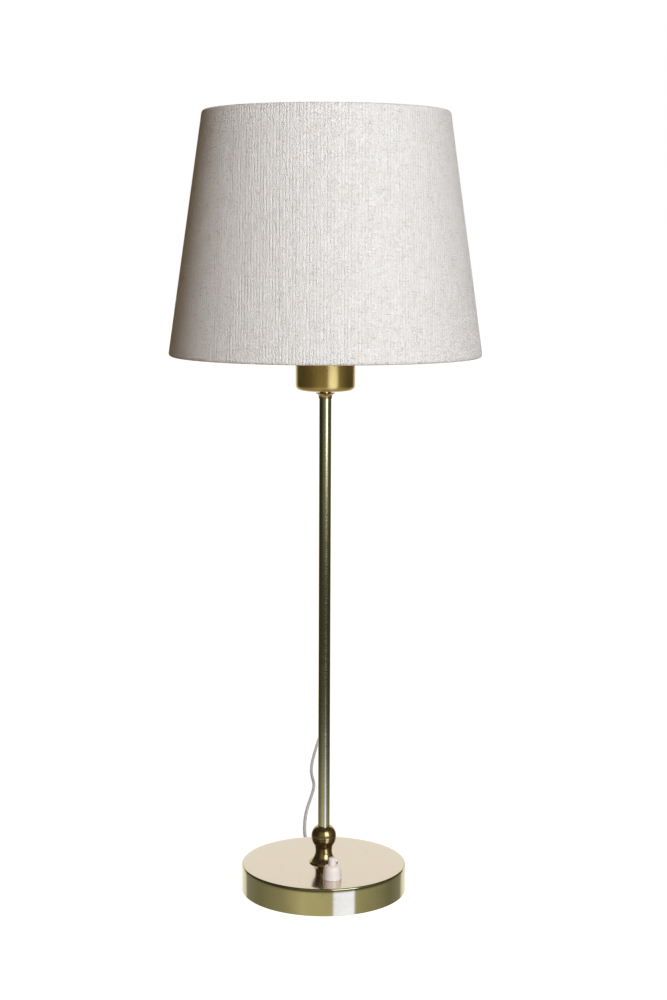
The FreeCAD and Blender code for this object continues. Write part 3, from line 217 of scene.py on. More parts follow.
def woven_threads():
    """Plain weave with uneven yarn: thread relief, warp and weft streaks, slubs and flecks."""
    nodes, given, out = new_group("Woven threads", {"Vector": 0, "Threads": 1180.0},
                                  ["Relief", "Warp", "Weft", "Slubs", "Flecks", "Grit", "Lines"])
    cloth = given["Vector"]
    wander = nodes.noise(cloth, 140.0, 3.0, 0.6)
    shift = nodes.sum("MULTIPLY", nodes.sum("SUBTRACT", wander, 0.5), 0.0016)
    at = nodes.parts(cloth)
    across = nodes.sum("ADD", at[0], shift)
    along = nodes.sum("SUBTRACT", at[1], shift)
    half_turns = nodes.sum("MULTIPLY", given["Threads"], pi)
    warp_wave = nodes.sum("SINE", nodes.sum("MULTIPLY", across, half_turns))
    weft_wave = nodes.sum("SINE", nodes.sum("MULTIPLY", along, half_turns))
    over = nodes.fit(nodes.sum("MULTIPLY", warp_wave, weft_wave), -0.25, 0.25)
    warp_top = nodes.sum("ABSOLUTE", warp_wave)
    weft_top = nodes.sum("ABSOLUTE", weft_wave)
    weave = nodes.sum("ADD", nodes.sum("MULTIPLY", warp_top, over),
                      nodes.sum("MULTIPLY", weft_top, nodes.sum("SUBTRACT", 1.0, over)))
    warp = nodes.streaks(cloth, 800, 45, 3.0, 0.8)
    weft = nodes.streaks(cloth, 45, 800, 3.0, 0.8)
    slubs = nodes.streaks(cloth, 70, 760, 1.0)
    slubs = nodes.fit(slubs, 0.60, 0.74)
    flecks = nodes.streaks(cloth, 820, 190, 1.0)
    dashes = nodes.streaks(cloth, 170, 900, 1.0)
    flecks = nodes.sum("MAXIMUM", nodes.fit(flecks, 0.67, 0.76), nodes.fit(dashes, 0.67, 0.76))
    yarn = nodes.sum("ADD", nodes.sum("MULTIPLY", warp, 1.1), nodes.sum("MULTIPLY", weft, 0.7))
    ribs = nodes.streaks(cloth, 390, 40, 2.0, 0.6)
    cross = nodes.streaks(cloth, 40, 390, 2.0, 0.6)
    ribs = nodes.sum("MULTIPLY", nodes.sum("ADD", ribs, cross), 0.7)
    grit = nodes.noise(cloth, 1100.0, 1.0, 0.6)
    ribs = nodes.sum("MULTIPLY_ADD", grit, 2.1, ribs)
    lines = nodes.sum("SINE", nodes.sum("MULTIPLY", across, tau / LINE_PITCH))
    lines = nodes.fit(lines, 0.2, 1.0)
    ribs = nodes.sum("MULTIPLY_ADD", lines, -0.32, ribs)
    relief = nodes.sum("ADD", nodes.sum("MULTIPLY_ADD", weave, 0.45, ribs), yarn)
    relief = nodes.sum("ADD", relief, nodes.sum("MULTIPLY", slubs, 0.35))
    made = {"Relief": relief, "Grit": nodes.fit(grit, 0.52, 0.74), "Lines": lines, "Warp": warp,
            "Weft": weft, "Slubs": slubs, "Flecks": flecks}
    for label, number in made.items():
        nodes.give(out[label], number)
    return nodes.tree


TURNED_MARKS = turned_marks()
MOULDED_GRAIN = moulded_grain()
WOVEN_THREADS = woven_threads()


def new_finish(name, roughness, **sockets):
    material = bpy.data.materials.new(name)
    material.use_nodes = True
    nodes = Nodes(material.node_tree)
    shader = material.node_tree.nodes["Principled BSDF"]
    shader.inputs["Roughness"].default_value = roughness
    for label, given in sockets.items():
        shader.inputs[label.replace("_", " ")].default_value = given
    place = nodes.add("ShaderNodeTexCoord").outputs["Object"]
    return material, nodes, shader, place


def colour(red, green, blue):
    return (red, green, blue, 1.0)


def turned_brass(name, body, worn, roughness, ring_density=1800.0, spread=0.9, coat=0.0,
                 relief=0.2):
    """Lacquered brass off the lathe, its reflections smeared across the rings."""
    material, nodes, shader, place = new_finish(
        name, roughness, Metallic=1.0, Anisotropic=spread, Anisotropic_Rotation=0.25,
        Coat_Weight=coat, Coat_Roughness=0.12)
    marks = nodes.group(TURNED_MARKS, Vector=place, Ring_density=ring_density)
    base = nodes.wash(colour(*body), marks["Smudges"], 0.35, worn)
    base = nodes.wash(base, marks["Specks"], 0.5, (0.05, 0.035, 0.02))
    nodes.give(shader.inputs["Base Color"], base)
    rough = nodes.sum("MULTIPLY_ADD", marks["Rings"], 0.08, roughness - 0.04)
    rough = nodes.sum("MULTIPLY_ADD", marks["Smudges"], 0.03, rough)
    nodes.give(shader.inputs["Roughness"], rough)
    nodes.bump(shader, marks["Rings"], relief, 0.00003)
    around = nodes.add("ShaderNodeTangent", direction_type="UV_MAP", uv_map="around")
    nodes.give(shader.inputs["Tangent"], around.outputs[0])
    return material


def moulded(name, body, shadow, roughness, grain_density=2500.0, depth=0.00004, dust=0.0,
            **sockets):
    """Plastic, rubber, porcelain or cast metal with its grain."""
    material, nodes, shader, place = new_finish(name, roughness, **sockets)
    grain = nodes.group(MOULDED_GRAIN, Vector=place, Grain_density=grain_density)
    base = nodes.blend(nodes.fit(grain["Clouds"], 0.3, 0.7), colour(*shadow), colour(*body))
    if dust:
        base = nodes.wash(base, grain["Dust"], dust, (0.6, 0.58, 0.54))
    nodes.give(shader.inputs["Base Color"], base)
    rough = nodes.sum("MULTIPLY_ADD", grain["Grain"], 0.2, roughness - 0.1)
    nodes.give(shader.inputs["Roughness"], rough)
    nodes.bump(shader, grain["Grain"], 0.5, depth)
    return material


def linen_cloth(name):
    """Natural linen on a stiff backing. Its pattern follows the cloth's flat cut, in metres."""
    material, nodes, shader, _ = new_finish(
        name, 0.88, Sheen_Weight=0.05, Sheen_Roughness=0.5, Specular_IOR_Level=0.2)
    cut = nodes.add("ShaderNodeUVMap", uv_map="cut").outputs[0]
    yarn = nodes.group(WOVEN_THREADS, Vector=cut)
    warp = nodes.fit(yarn["Warp"], 0.3, 0.7)
    weft = nodes.fit(yarn["Weft"], 0.3, 0.7)
    pale = (0.88, 0.878, 0.868)
    base = nodes.blend(warp, colour(0.74, 0.732, 0.712), colour(*pale))
    base = nodes.wash(base, weft, 0.4, pale)
    tint = nodes.fit(nodes.streaks(cut, 90, 60, 2.0), 0.4, 0.7)
    base = nodes.wash(base, tint, 0.09, (0.82, 0.70, 0.56))
    base = nodes.wash(base, yarn["Grit"], 0.42, (0.56, 0.49, 0.40))
    base = nodes.wash(base, yarn["Lines"], 0.10, (0.50, 0.46, 0.40))
    base = nodes.wash(base, yarn["Slubs"], 0.25, (0.66, 0.58, 0.47))
    base = nodes.wash(base, yarn["Flecks"], 0.55, (0.42, 0.31, 0.21))
    nodes.give(shader.inputs["Base Color"], base)
    nodes.bump(shader, yarn["Relief"], 1.0, 0.0009)
    return material


def plated(name, body, roughness, depth=0.00003):
    """Plated or rolled metal with fine scratches and clouds."""
    material, nodes, shader, place = new_finish(name, roughness, Metallic=1.0)
    grain = nodes.group(MOULDED_GRAIN, Vector=nodes.stretch(place, (1, 1, 4)),
                        Grain_density=1500.0)
    dull = tuple(part * 0.72 for part in body)
    base = nodes.blend(nodes.fit(grain["Clouds"], 0.3, 0.7), colour(*dull), colour(*body))
    nodes.give(shader.inputs["Base Color"], base)
    rough = nodes.sum("MULTIPLY_ADD", grain["Grain"], 0.25, roughness - 0.1)
    nodes.give(shader.inputs["Roughness"], rough)
    nodes.bump(shader, grain["Grain"], 0.4, depth)
    return material


BASE_BRASS = turned_brass("base_brass", (0.46, 0.41, 0.18), (0.40, 0.34, 0.14), 0.10, 900.0,
                          spread=0.3, coat=0.6, relief=0.08)
# A paler copy of the base's brass for its flat top: painted light, standing in for the pale
# reflection on the top
PAINTED_LIGHT_TOP_BRASS = turned_brass("base_top_painted_light", (0.69, 0.605, 0.53), (0.67, 0.58, 0.50), 0.14,
                              900.0, spread=0.3, coat=0.2)
STEM_BRASS = turned_brass("stem_brass", (0.50, 0.47, 0.25), (0.44, 0.39, 0.19), 0.12, 900.0,
                          spread=0.5, coat=0.4, relief=0.05)
FOOT_BRASS = turned_brass("foot_brass", (0.50, 0.36, 0.15), (0.42, 0.29, 0.10), 0.20, 900.0,
                          spread=0.5, coat=0.3, relief=0.1)
# Near-black, non-metal finish: painted shade for the collar's upturned bowl and rim under the cup
PAINTED_SHADE_BRASS = moulded("painted_shade_brass", (0.045, 0.035, 0.02), (0.025, 0.02, 0.01), 0.6, 1500.0,
                     Specular_IOR_Level=0.1)
CUP_BRASS = turned_brass("cup_brass", (0.60, 0.43, 0.13), (0.52, 0.37, 0.10), 0.35, 900.0,
                         spread=0.8, coat=0.2)
LINEN = linen_cloth("linen")
LINING = moulded("shade_liner", (0.82, 0.81, 0.78), (0.76, 0.74, 0.70), 0.6, 900.0, 0.00005)
OPAL = moulded("opal_glass", (0.88, 0.87, 0.84), (0.84, 0.83, 0.80), 0.18, 300.0, 0.00001,
               Coat_Weight=0.5, Coat_Roughness=0.05, Subsurface_Weight=0.25,
               Subsurface_Scale=0.003)
IVORY = moulded("ivory_plastic", (0.70, 0.64, 0.59), (0.67, 0.60, 0.54), 0.30, 1500.0, 0.00002,
                Coat_Weight=0.3, Coat_Roughness=0.1)
CORD_GREY = moulded("cord_rubber", (0.56, 0.59, 0.63), (0.46, 0.49, 0.53), 0.45, 3000.0,
                    0.00003, dust=0.15)
SHEATH = moulded("cord_sheath", (0.58, 0.58, 0.585), (0.48, 0.48, 0.485), 0.5, 3000.0)
PLUG = moulded("plug_plastic", (0.56, 0.56, 0.565), (0.48, 0.48, 0.485), 0.5, 1800.0, 0.00006,
               dust=0.2)
TIE = moulded("tie_plastic", (0.62, 0.61, 0.58), (0.52, 0.51, 0.49), 0.45, 2000.0)
CAST = moulded("cast_weight", (0.10, 0.10, 0.10), (0.06, 0.06, 0.06), 0.75, 700.0, 0.0002)
FELT = moulded("dark_felt", (0.045, 0.05, 0.045), (0.02, 0.022, 0.02), 0.95, 4200.0, 0.0004,
               dust=0.25, Sheen_Weight=0.4)
HOLDER = moulded("holder_plastic", (0.78, 0.76, 0.71), (0.70, 0.68, 0.63), 0.38, 1500.0,
                 Coat_Weight=0.2)
PORCELAIN = moulded("porcelain", (0.86, 0.85, 0.82), (0.80, 0.79, 0.75), 0.2, 800.0,
                    Coat_Weight=0.6)
BLACK_GLASS = moulded("black_glass", (0.02, 0.02, 0.022), (0.01, 0.01, 0.011), 0.1, 800.0)
WHITE_PAINT = moulded("white_wire", (0.80, 0.79, 0.77), (0.70, 0.69, 0.66), 0.4, 1600.0, 0.00004)
BLUE_WIRE = moulded("blue_wire", (0.03, 0.12, 0.42), (0.02, 0.08, 0.30), 0.4)
BROWN_WIRE = moulded("brown_wire", (0.16, 0.07, 0.03), (0.10, 0.04, 0.02), 0.4)
ZINC = plated("zinc_steel", (0.62, 0.62, 0.60), 0.38)
CONTACT = plated("contact_brass", (0.72, 0.58, 0.28), 0.3)
ALUMINIUM = plated("cap_aluminium", (0.80, 0.80, 0.79), 0.28)
PINS = plated("plated_pins", (0.74, 0.72, 0.68), 0.2)

NODES_OF_FINISH = [
    (CAST, "base_ballast"), (FELT, "base_felt"), (PORCELAIN, "lampholder_insert"),
    (ZINC, "base_bottom_plate bottom_plate_screws threaded_rod bottom_washer bottom_nut "
           "cord_clamp cord_clamp_screws"),
    (HOLDER, "lampholder_cap lampholder_skirt shade_rest_ring shade_clamp_ring"),
    (CONTACT, "lampholder_terminal_screws lampholder_thread_shell lampholder_centre_contact "
              "bulb_contact switch_contact_blades"),
    (WHITE_PAINT, "shade_top_ring shade_frame"), (LINING, "shade_lining"),
    (LINEN, "shade_fabric"), (ALUMINIUM, "bulb_cap"), (BLACK_GLASS, "bulb_insulator"),
    (OPAL, "bulb_glass"), (IVORY, "switch_body switch_bottom_plate switch_bell switch_knob"),
    (CORD_GREY, "cord_bushing cord_lead cord_hank cord_run"), (SHEATH, "cord_tail"),
    (BLUE_WIRE, "neutral_wire"), (BROWN_WIRE, "live_wire switched_wire"), (TIE, "hank_tie"),
    (PLUG, "plug_body"), (PINS, "plug_pins"), (BASE_BRASS, "base_cover"),
    (FOOT_BRASS, "foot_turning flared_collar"), (STEM_BRASS, "stem_tube"),
    (CUP_BRASS, "socket_cup"),
]
for finish, node_names in NODES_OF_FINISH:
    for node_name in node_names.split():
        for material_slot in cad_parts[node_name].material_slots:
            material_slot.material = finish


# Shapes

class Outline:
    """Half section drawn point by point in the plane y = 0: radius and height in millimetres."""

    def __init__(self, radius, height):
        self.bm = bmesh.new()
        self.first = self.bm.verts.new(mm(radius, 0, height))
        self.last = self.first

    def line(self, radius, height, parts=1):
        start = self.last.co.copy()
        finish = mm(radius, 0, height)
        for part in range(parts):
            made = bmesh.ops.extrude_vert_indiv(self.bm, verts=[self.last])
            self.last = made["verts"][0]
            self.last.co = start.lerp(finish, (part + 1) / parts)
        return self

    def arc(self, radius, height, bend, steps=8):
        """An arc of that bend radius: positive turns left along the way, negative turns right."""
        start = self.last.co.copy()
        finish = mm(radius, 0, height)
        chord = finish - start
        half = chord.length / 2
        rise = sqrt(max((bend * MM) ** 2 - half ** 2, 0.0))
        side = Vector((-chord.z, 0, chord.x)).normalized()
        centre = (start + finish) / 2 + side * (rise if bend > 0 else -rise)
        begin = atan2(start.z - centre.z, start.x - centre.x)
        sweep = (atan2(finish.z - centre.z, finish.x - centre.x) - begin + pi) % tau - pi
        made = bmesh.ops.spin(self.bm, geom=[self.last], cent=centre, axis=(0, 1, 0),
                              angle=-sweep, steps=steps, use_duplicate=False)
        self.last = made["geom_last"][0]
        return self

    def close(self):
        bmesh.ops.contextual_create(self.bm, geom=[self.first, self.last])
        return self

    def turn(self, steps=128, centre=(0, 0)):
        """The full turn of the outline round the upright through that centre."""
        bm = self.bm
        bmesh.ops.spin(bm, geom=bm.verts[:] + bm.edges[:], cent=(0, 0, 0), axis=(0, 0, 1),
                       angle=tau, steps=steps, use_merge=True, use_duplicate=False)
        bmesh.ops.remove_doubles(bm, verts=bm.verts[:], dist=0.000001)
        bmesh.ops.recalc_face_normals(bm, faces=bm.faces[:])
        wrap_round(bm)
        if centre != (0, 0):
            bmesh.ops.translate(bm, verts=bm.verts[:], vec=mm(centre[0], centre[1], 0))
        return bm


def wrap_round(bm):
    """A map named around, whose first direction runs round the upright axis."""
    layer = bm.loops.layers.uv.new("around")
    for face in bm.faces:
        middle = face.calc_center_median()
        facing = atan2(middle.y, middle.x)
        for loop in face.loops:
            at = loop.vert.co
            turn = (atan2(at.y, at.x) - facing + pi) % tau - pi
            loop[layer].uv = ((facing + turn) / tau, at.z * 8 + hypot(at.x, at.y) * 8)


def lay_flat(bm, apex_height, half_angle):
    """A map named cut, in metres: the flat cut of a cone's cloth, its seam at the back."""
    layer = bm.loops.layers.uv.new("cut")
    for face in bm.faces:
        middle = face.calc_center_median()
        facing = atan2(middle.x, -middle.y)
        for loop in face.loops:
            at = loop.vert.co
            turn = facing + (atan2(at.x, -at.y) - facing + pi) % tau - pi
            slant = hypot(hypot(at.x, at.y), apex_height - at.z)
            spread = turn * sin(half_angle)
            loop[layer].uv = (slant * sin(spread), -slant * cos(spread))


def second_finish(made, finish, where):
    """Another finish on the faces that pass the test."""
    made.data.materials.append(finish)
    for face in made.data.polygons:
        if where(face):
            face.material_index = 1


def add_block(bm, size, middle=(0, 0, 0)):
    """A block of that size round its middle, in millimetres, as its corners."""
    block = bmesh.ops.create_cube(bm, size=1.0)["verts"]
    bmesh.ops.scale(bm, verts=block, vec=mm(*size))
    bmesh.ops.translate(bm, verts=block, vec=mm(*middle))
    return block


def add_rod(bm, radius, length, segments):
    """An upright rod round the origin, in millimetres, as its corners."""
    return bmesh.ops.create_cone(bm, cap_ends=True, segments=segments, radius1=radius * MM,
                                 radius2=radius * MM, depth=length * MM)["verts"]


def round_edges(bm, edges, radius):
    bmesh.ops.bevel(bm, geom=edges, offset=radius * MM, offset_type="OFFSET", segments=5,
                    profile=0.5, affect="EDGES", material=-1)


def make_piece(name, bm, finish, body, stands_for=(), bevel=0.0, segments=3):
    """A finished object from the shape, riding on its body."""
    mesh = mesh_of(name, bm)
    mesh.materials.append(finish)
    mesh.shade_smooth()
    made = add_object(name, mesh)
    if bevel:
        edge = made.modifiers.new("softened_edges", "BEVEL")
        edge.width = bevel * MM
        edge.segments = segments
        edge.limit_method = "ANGLE"
        edge.angle_limit = radians(35)
        edge.harden_normals = True
    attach(made, body)
    if stands_for:
        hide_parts(*stands_for)
    return made


BASE_RADIUS, BASE_TOP, COVER_WALL, COVER_EDGE, COVER_HOLE = 72.5, 24.5, 1.0, 1.4, 4.2


# Cord: from the sleeve, through the hank, along the floor to the plug

LEAD_ROUTE = [
    (53.27, 69.42, 7.0), (59.6, 77.75, 6.9), (61.9, 88.5, 5.3), (59.3, 99.2, 3.2),
    (52.4, 107.8, 2.35), (43.0, 112.5, 2.35), (34.3, 112.5, 2.35),
]
RUN_ROUTE = [
    (14.0, 112.5, 6.1), (3.0, 112.5, 6.1), (-7.9, 117.6, 4.8), (-16.5, 127.4, 2.6),
    (-18.3, 143.5, 1.7), (-18.9, 172.0, 1.7), (-18.6, 203.0, 1.7), (-16.7, 236.0, 1.7),
    (-13.2, 272.0, 1.7), (-9.7, 315.0, 1.7), (-13.4, 352.0, 1.7), (-13.9, 388.0, 1.7),
    (-12.0, 424.0, 1.7), (-9.0, 466.0, 1.7), (-5.6, 508.0, 1.7), (-2.2, 540.0, 1.7),
    (-0.6, 562.0, 3.6), (0.0, 584.0, 17.7), (0.0, 598.0, 17.7),
]
HANK_RUNS = 11
CLIMBING_RUN = 5
HANK_MIDDLE = (-2.0, 92.6)
HANK_HALF_RUN = 33.0
HANK_LOW, HANK_HIGH = 2.35, 6.1
WAIST_HALF, WAIST_SHARE = 9, 0.3
HANK_INNER, HANK_PITCH, HANK_DRAW = 9.9, 2.0, 6.0
BEND_CORNER = 0.414
CORD_RADIUS = 1.65
SLEEVE_HEIGHT, SLEEVE_BEARING, SLEEVE_TIP = 7.0, 52.5, 87.5
PLUG_FOOT = RUN_ROUTE[-1]
PLUG_TAIL, PLUG_SIZE, PLUG_CORNER = 22.0, (13.7, 37.0, 35.24), 6.0
PIN_SPACING, PIN_RADIUS, PIN_SLEEVE, PIN_LENGTH, PIN_SUNK = 18.6, 2.0, 14.0, 23.0, 4.0
STRAP_SIZE, STRAP_MIDDLE, STRAP_CORNER, STRAP_WALL = (6.0, 30.5, 8.4), (-2.0, 93.55, 4.3), 1.5, 0.6


def hank_offset(number):
    return HANK_INNER + HANK_PITCH * abs(number - CLIMBING_RUN)


def hank_route():
    """Turn corners, run ends and drawn-in waist of each run; every other run is turned over."""
    middle, centre = HANK_MIDDLE
    rest = 1 - WAIST_SHARE
    points = []
    for number in range(HANK_RUNS):
        side = 1 if number % 2 == 0 else -1
        offset = hank_offset(number)
        first = HANK_LOW if number <= CLIMBING_RUN else HANK_HIGH
        last = HANK_LOW if number < CLIMBING_RUN else HANK_HIGH
        bow_in = (hank_offset(max(number - 1, 0)) + offset) / 2
        bow_out = (hank_offset(number + 1) + offset) / 2
        into, out_of = BEND_CORNER * bow_in, BEND_CORNER * bow_out
        run = [(HANK_HALF_RUN - into, offset, first)]
        if number:
            run = [(HANK_HALF_RUN + bow_in, offset - bow_in + into, first),
                   (HANK_HALF_RUN + into, offset, first)] + run
        if number < HANK_RUNS - 1:
            run += [(WAIST_HALF, offset - HANK_DRAW, first * rest + last * WAIST_SHARE),
                    (-WAIST_HALF, offset - HANK_DRAW, first * WAIST_SHARE + last * rest),
                    (out_of - HANK_HALF_RUN, offset, last),
                    (-out_of - HANK_HALF_RUN, offset, last),
                    (-bow_out - HANK_HALF_RUN, offset - bow_out + out_of, last)]
        points += [(middle + side * along, centre + side * across, height)
                   for along, across, height in run]
    return points


def make_cord():
    curve = bpy.data.curves.new("mains_cord", "CURVE")
    curve.dimensions = "3D"
    curve.bevel_depth = CORD_RADIUS * MM
    curve.bevel_resolution = 5
    curve.use_fill_caps = True
    line = curve.splines.new("NURBS")
    route = LEAD_ROUTE + hank_route() + RUN_ROUTE
    line.points.add(len(route) - 1)
    for point, place in zip(line.points, route):
        point.co = (*mm(*place), 1)
    line.order_u = 3
    line.use_endpoint_u = True
    line.resolution_u = 6
    curve.materials.append(CORD_GREY)
    cord = add_object("mains_cord", curve)
    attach(cord, "lamp")
    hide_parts("cord_lead", "cord_hank", "cord_run")
    return cord


def turn_toward(bm, direction, place):
    """Lays a shape drawn upright along a level direction, in degrees, and sets its foot there."""
    way = Vector((cos(radians(direction)), sin(radians(direction)), 0))
    lean = way.to_track_quat("Z", "Y").to_matrix()
    bmesh.ops.rotate(bm, verts=bm.verts[:], matrix=lean)
    bmesh.ops.translate(bm, verts=bm.verts[:], vec=mm(*place))


def ribbed(outline, start, finish, ribs, depth):
    """A taper between two points, cut by narrow grooves."""
    step = (finish[1] - start[1]) / ribs
    for number in range(ribs):
        for share, inset in ((0.35, 0), (0.42, depth), (0.83, depth), (0.90, 0)):
            along = (number + share) / ribs
            outline.line(start[0] + (finish[0] - start[0]) * along - inset,
                         start[1] + step * (number + share))
    return outline.line(*finish)


def entry_sleeve():
    """A shank through the base's wall between two flanges, and the ribbed taper outside."""
    bore, back_flange, shank, front_flange, taper, tip = 1.75, 4.1, 3.3, 4.6, 3.6, 2.4
    back, inside, outside, front = 57.9, 59.8, BASE_RADIUS + 0.05, 74.55
    sleeve = Outline(bore, back).line(back_flange, back).line(back_flange, inside)
    sleeve.line(shank, inside).line(shank, outside).line(front_flange, outside)
    sleeve.line(front_flange, front).line(taper, front)
    ribbed(sleeve, (taper, front), (tip, SLEEVE_TIP), 5, 0.5)
    bm = sleeve.line(bore, SLEEVE_TIP).close().turn(64)
    turn_toward(bm, SLEEVE_BEARING, (0, 0, SLEEVE_HEIGHT))
    return make_piece("entry_sleeve_moulded", bm, CORD_GREY, "lamp", ["cord_bushing"],
                      bevel=0.12, segments=2)


def plug_shell():
    foot_y, height = PLUG_FOOT[1:]
    tip, root, sunk = 2.5, 4.4, PLUG_TAIL + 6.0
    tail = ribbed(Outline(0, 0).line(tip, 0), (tip, 0), (root, PLUG_TAIL), 8, 0.5)
    bm = tail.line(root, sunk).line(0, sunk).turn(56)
    turn_toward(bm, 90, PLUG_FOOT)
    block = add_block(bm, PLUG_SIZE, (0, foot_y + PLUG_TAIL + PLUG_SIZE[1] / 2, height))
    corners = [edge for edge in bm.edges if edge.verts[0] in block and edge.verts[1] in block
               and abs(edge.verts[0].co.x - edge.verts[1].co.x) > 0.01]
    round_edges(bm, corners, PLUG_CORNER)
    return make_piece("plug_shell_moulded", bm, PLUG, "lamp", ["plug_body"],
                      bevel=1.4, segments=4)


def plug_prongs():
    foot_y = PLUG_FOOT[1] + PLUG_TAIL + PLUG_SIZE[1] - PIN_SUNK
    bare, rounding = PIN_RADIUS - 0.1, 1.2
    prong = Outline(0, 0).line(PIN_RADIUS, 0).line(PIN_RADIUS, PIN_SLEEVE)
    prong.line(bare, PIN_SLEEVE + 0.1).line(bare, PIN_LENGTH - rounding)
    bm = prong.arc(bare - rounding, PIN_LENGTH, rounding, 5).line(0, PIN_LENGTH).turn(32)
    turn_toward(bm, 90, (0, foot_y, PLUG_FOOT[2] - PIN_SPACING / 2))
    made = bmesh.ops.duplicate(bm, geom=bm.verts[:] + bm.edges[:] + bm.faces[:])
    copies = [part for part in made["geom"] if isinstance(part, bmesh.types.BMVert)]
    bmesh.ops.translate(bm, verts=copies, vec=mm(0, 0, PIN_SPACING))
    prongs = make_piece("plug_prongs_turned", bm, PINS, "lamp", ["plug_pins"])
    second_finish(prongs, BLACK_GLASS, lambda face: face.center.y < (foot_y + PIN_SLEEVE) * MM)


def hank_strap():
    bm = bmesh.new()
    add_block(bm, STRAP_SIZE, STRAP_MIDDLE)
    round_edges(bm, [edge for edge in bm.edges
                     if abs(edge.verts[0].co.x - edge.verts[1].co.x) > 0.001], STRAP_CORNER)
    ends = [face for face in bm.faces if abs(face.normal.x) > 0.9]
    bmesh.ops.delete(bm, geom=ends, context="FACES_ONLY")
    bmesh.ops.solidify(bm, geom=bm.faces[:], thickness=STRAP_WALL * MM)
    return make_piece("hank_strap", bm, TIE, "lamp", ["hank_tie"], bevel=0.12,
                      segments=2)


cord = make_cord()
entry_sleeve()
plug_shell()
plug_prongs()
hank_strap()


# Base and stem: radii and heights in millimetres, as in the source

ROD_BORE, SOCKET = 4.1, 5.35
STEM_RADIUS, STEM_BORE, STEM_FOOT, STEM_TOP = 5.3, 4.5, 51.5, 439.0
CUP_RADIUS, CUP_BOTTOM, CUP_TOP, CUP_WALL, CUP_CORNER = 25.7, 444.4, 492.0, 0.9, 4.5


def base_cover():
    inner, under = BASE_RADIUS - COVER_WALL, BASE_TOP - COVER_WALL
    shell = Outline(inner, 0.5).line(BASE_RADIUS, 0.5)
    shell.line(BASE_RADIUS, BASE_TOP - COVER_EDGE, 6)
    shell.arc(BASE_RADIUS - COVER_EDGE, BASE_TOP, COVER_EDGE, 6).line(COVER_HOLE, BASE_TOP, 10)
    shell.line(COVER_HOLE, under).line(inner - 0.5, under, 6).line(inner, under - 0.5).close()
    bm = shell.turn(256)
    cover = make_piece("base_cover_turned", bm, BASE_BRASS, "lamp", ["base_cover"],
                       bevel=0.2)
    level = (BASE_TOP - 0.5) * MM
    # The flat top faces take the paler brass: painted light of the top's bright reflection, not a
    # different metal
    second_finish(cover, PAINTED_LIGHT_TOP_BRASS,
                  lambda face: face.normal.z > 0.97 and face.center.z > level)


def foot_turning():
    """Each form of the turned foot is given by its radius and its height above the base."""
    waist, shoulder, ring = (7.5, 9.0), (8.8, 16.2), (10.9, 22.0)
    bead, lip = (11.1, 24.9), (6.7, 33.0)
    flange, rim, groove = 12.8, 1.0, 0.25
    low, high = BASE_TOP + ring[1] - groove, BASE_TOP + ring[1] + groove
    foot = Outline(ROD_BORE, BASE_TOP).line(flange, BASE_TOP).line(flange, BASE_TOP + rim)
    foot.arc(waist[0], BASE_TOP + waist[1], -12.0, 14)
    foot.arc(shoulder[0], BASE_TOP + shoulder[1], -13.0, 8).arc(ring[0], low, 14.0, 8)
    foot.line(ring[0] - groove, low).line(ring[0] - groove, high).line(ring[0], high)
    foot.arc(bead[0], BASE_TOP + bead[1], 6.0, 4).arc(lip[0], BASE_TOP + lip[1], 10.0, 12)
    foot.line(SOCKET, BASE_TOP + lip[1]).line(SOCKET, STEM_FOOT).line(ROD_BORE, STEM_FOOT).close()
    return make_piece("foot_turned", foot.turn(160), FOOT_BRASS, "lamp", ["foot_turning"],
                      bevel=0.18)


def stem_tube():
    tube = Outline(STEM_BORE, STEM_FOOT).line(STEM_RADIUS, STEM_FOOT)
    tube.line(STEM_RADIUS, STEM_TOP, 24).line(STEM_BORE, STEM_TOP).close()
    return make_piece("stem_tube_drawn", tube.turn(96), STEM_BRASS, "lamp", ["stem_tube"],
                      bevel=0.15)


def flared_collar():
    low, high = STEM_TOP - 1.8, STEM_TOP + 2.9
    sleeve, rim, rim_width, bowl_depth, neck = SOCKET + 0.5, 8.6, 0.4, 2.2, 4.9
    collar = Outline(SOCKET, low).line(sleeve, low).line(sleeve, STEM_TOP).arc(rim, high, -4.5, 10)
    collar.line(rim - rim_width, high).line(neck, high - bowl_depth).line(neck, CUP_BOTTOM)
    collar.line(ROD_BORE, CUP_BOTTOM).line(ROD_BORE, STEM_TOP).line(SOCKET, STEM_TOP).close()
    made = make_piece("collar_turned", collar.turn(128), FOOT_BRASS, "lamp", ["flared_collar"],
                      bevel=0.15)
    level = (STEM_TOP + 1.0) * MM
    # The collar's upturned faces under the cup get the near-black finish: painted shade, not a
    # finish the brass has
    second_finish(made, PAINTED_SHADE_BRASS, lambda face: face.normal.z > 0.5 and face.center.z > level)


def socket_cup():
    flat, corner_top = CUP_RADIUS - CUP_CORNER, CUP_BOTTOM + CUP_CORNER
    inner, floor = CUP_RADIUS - CUP_WALL, CUP_BOTTOM + CUP_WALL
    cup = Outline(ROD_BORE, CUP_BOTTOM).line(flat, CUP_BOTTOM, 4)
    cup.arc(CUP_RADIUS, corner_top, CUP_CORNER, 12).line(CUP_RADIUS, CUP_TOP, 8)
    cup.line(inner, CUP_TOP).line(inner, corner_top, 4)
    cup.arc(flat, floor, CUP_WALL - CUP_CORNER, 8).line(ROD_BORE, floor, 3).close()
    return make_piece("socket_cup_spun", cup.turn(192), CUP_BRASS, "lamp", ["socket_cup"],
                      bevel=0.25)


base_cover()
foot_turning()
stem_tube()
flared_collar()
socket_cup()


# Turn switch

SWITCH_AT = (7.5, -44.7)


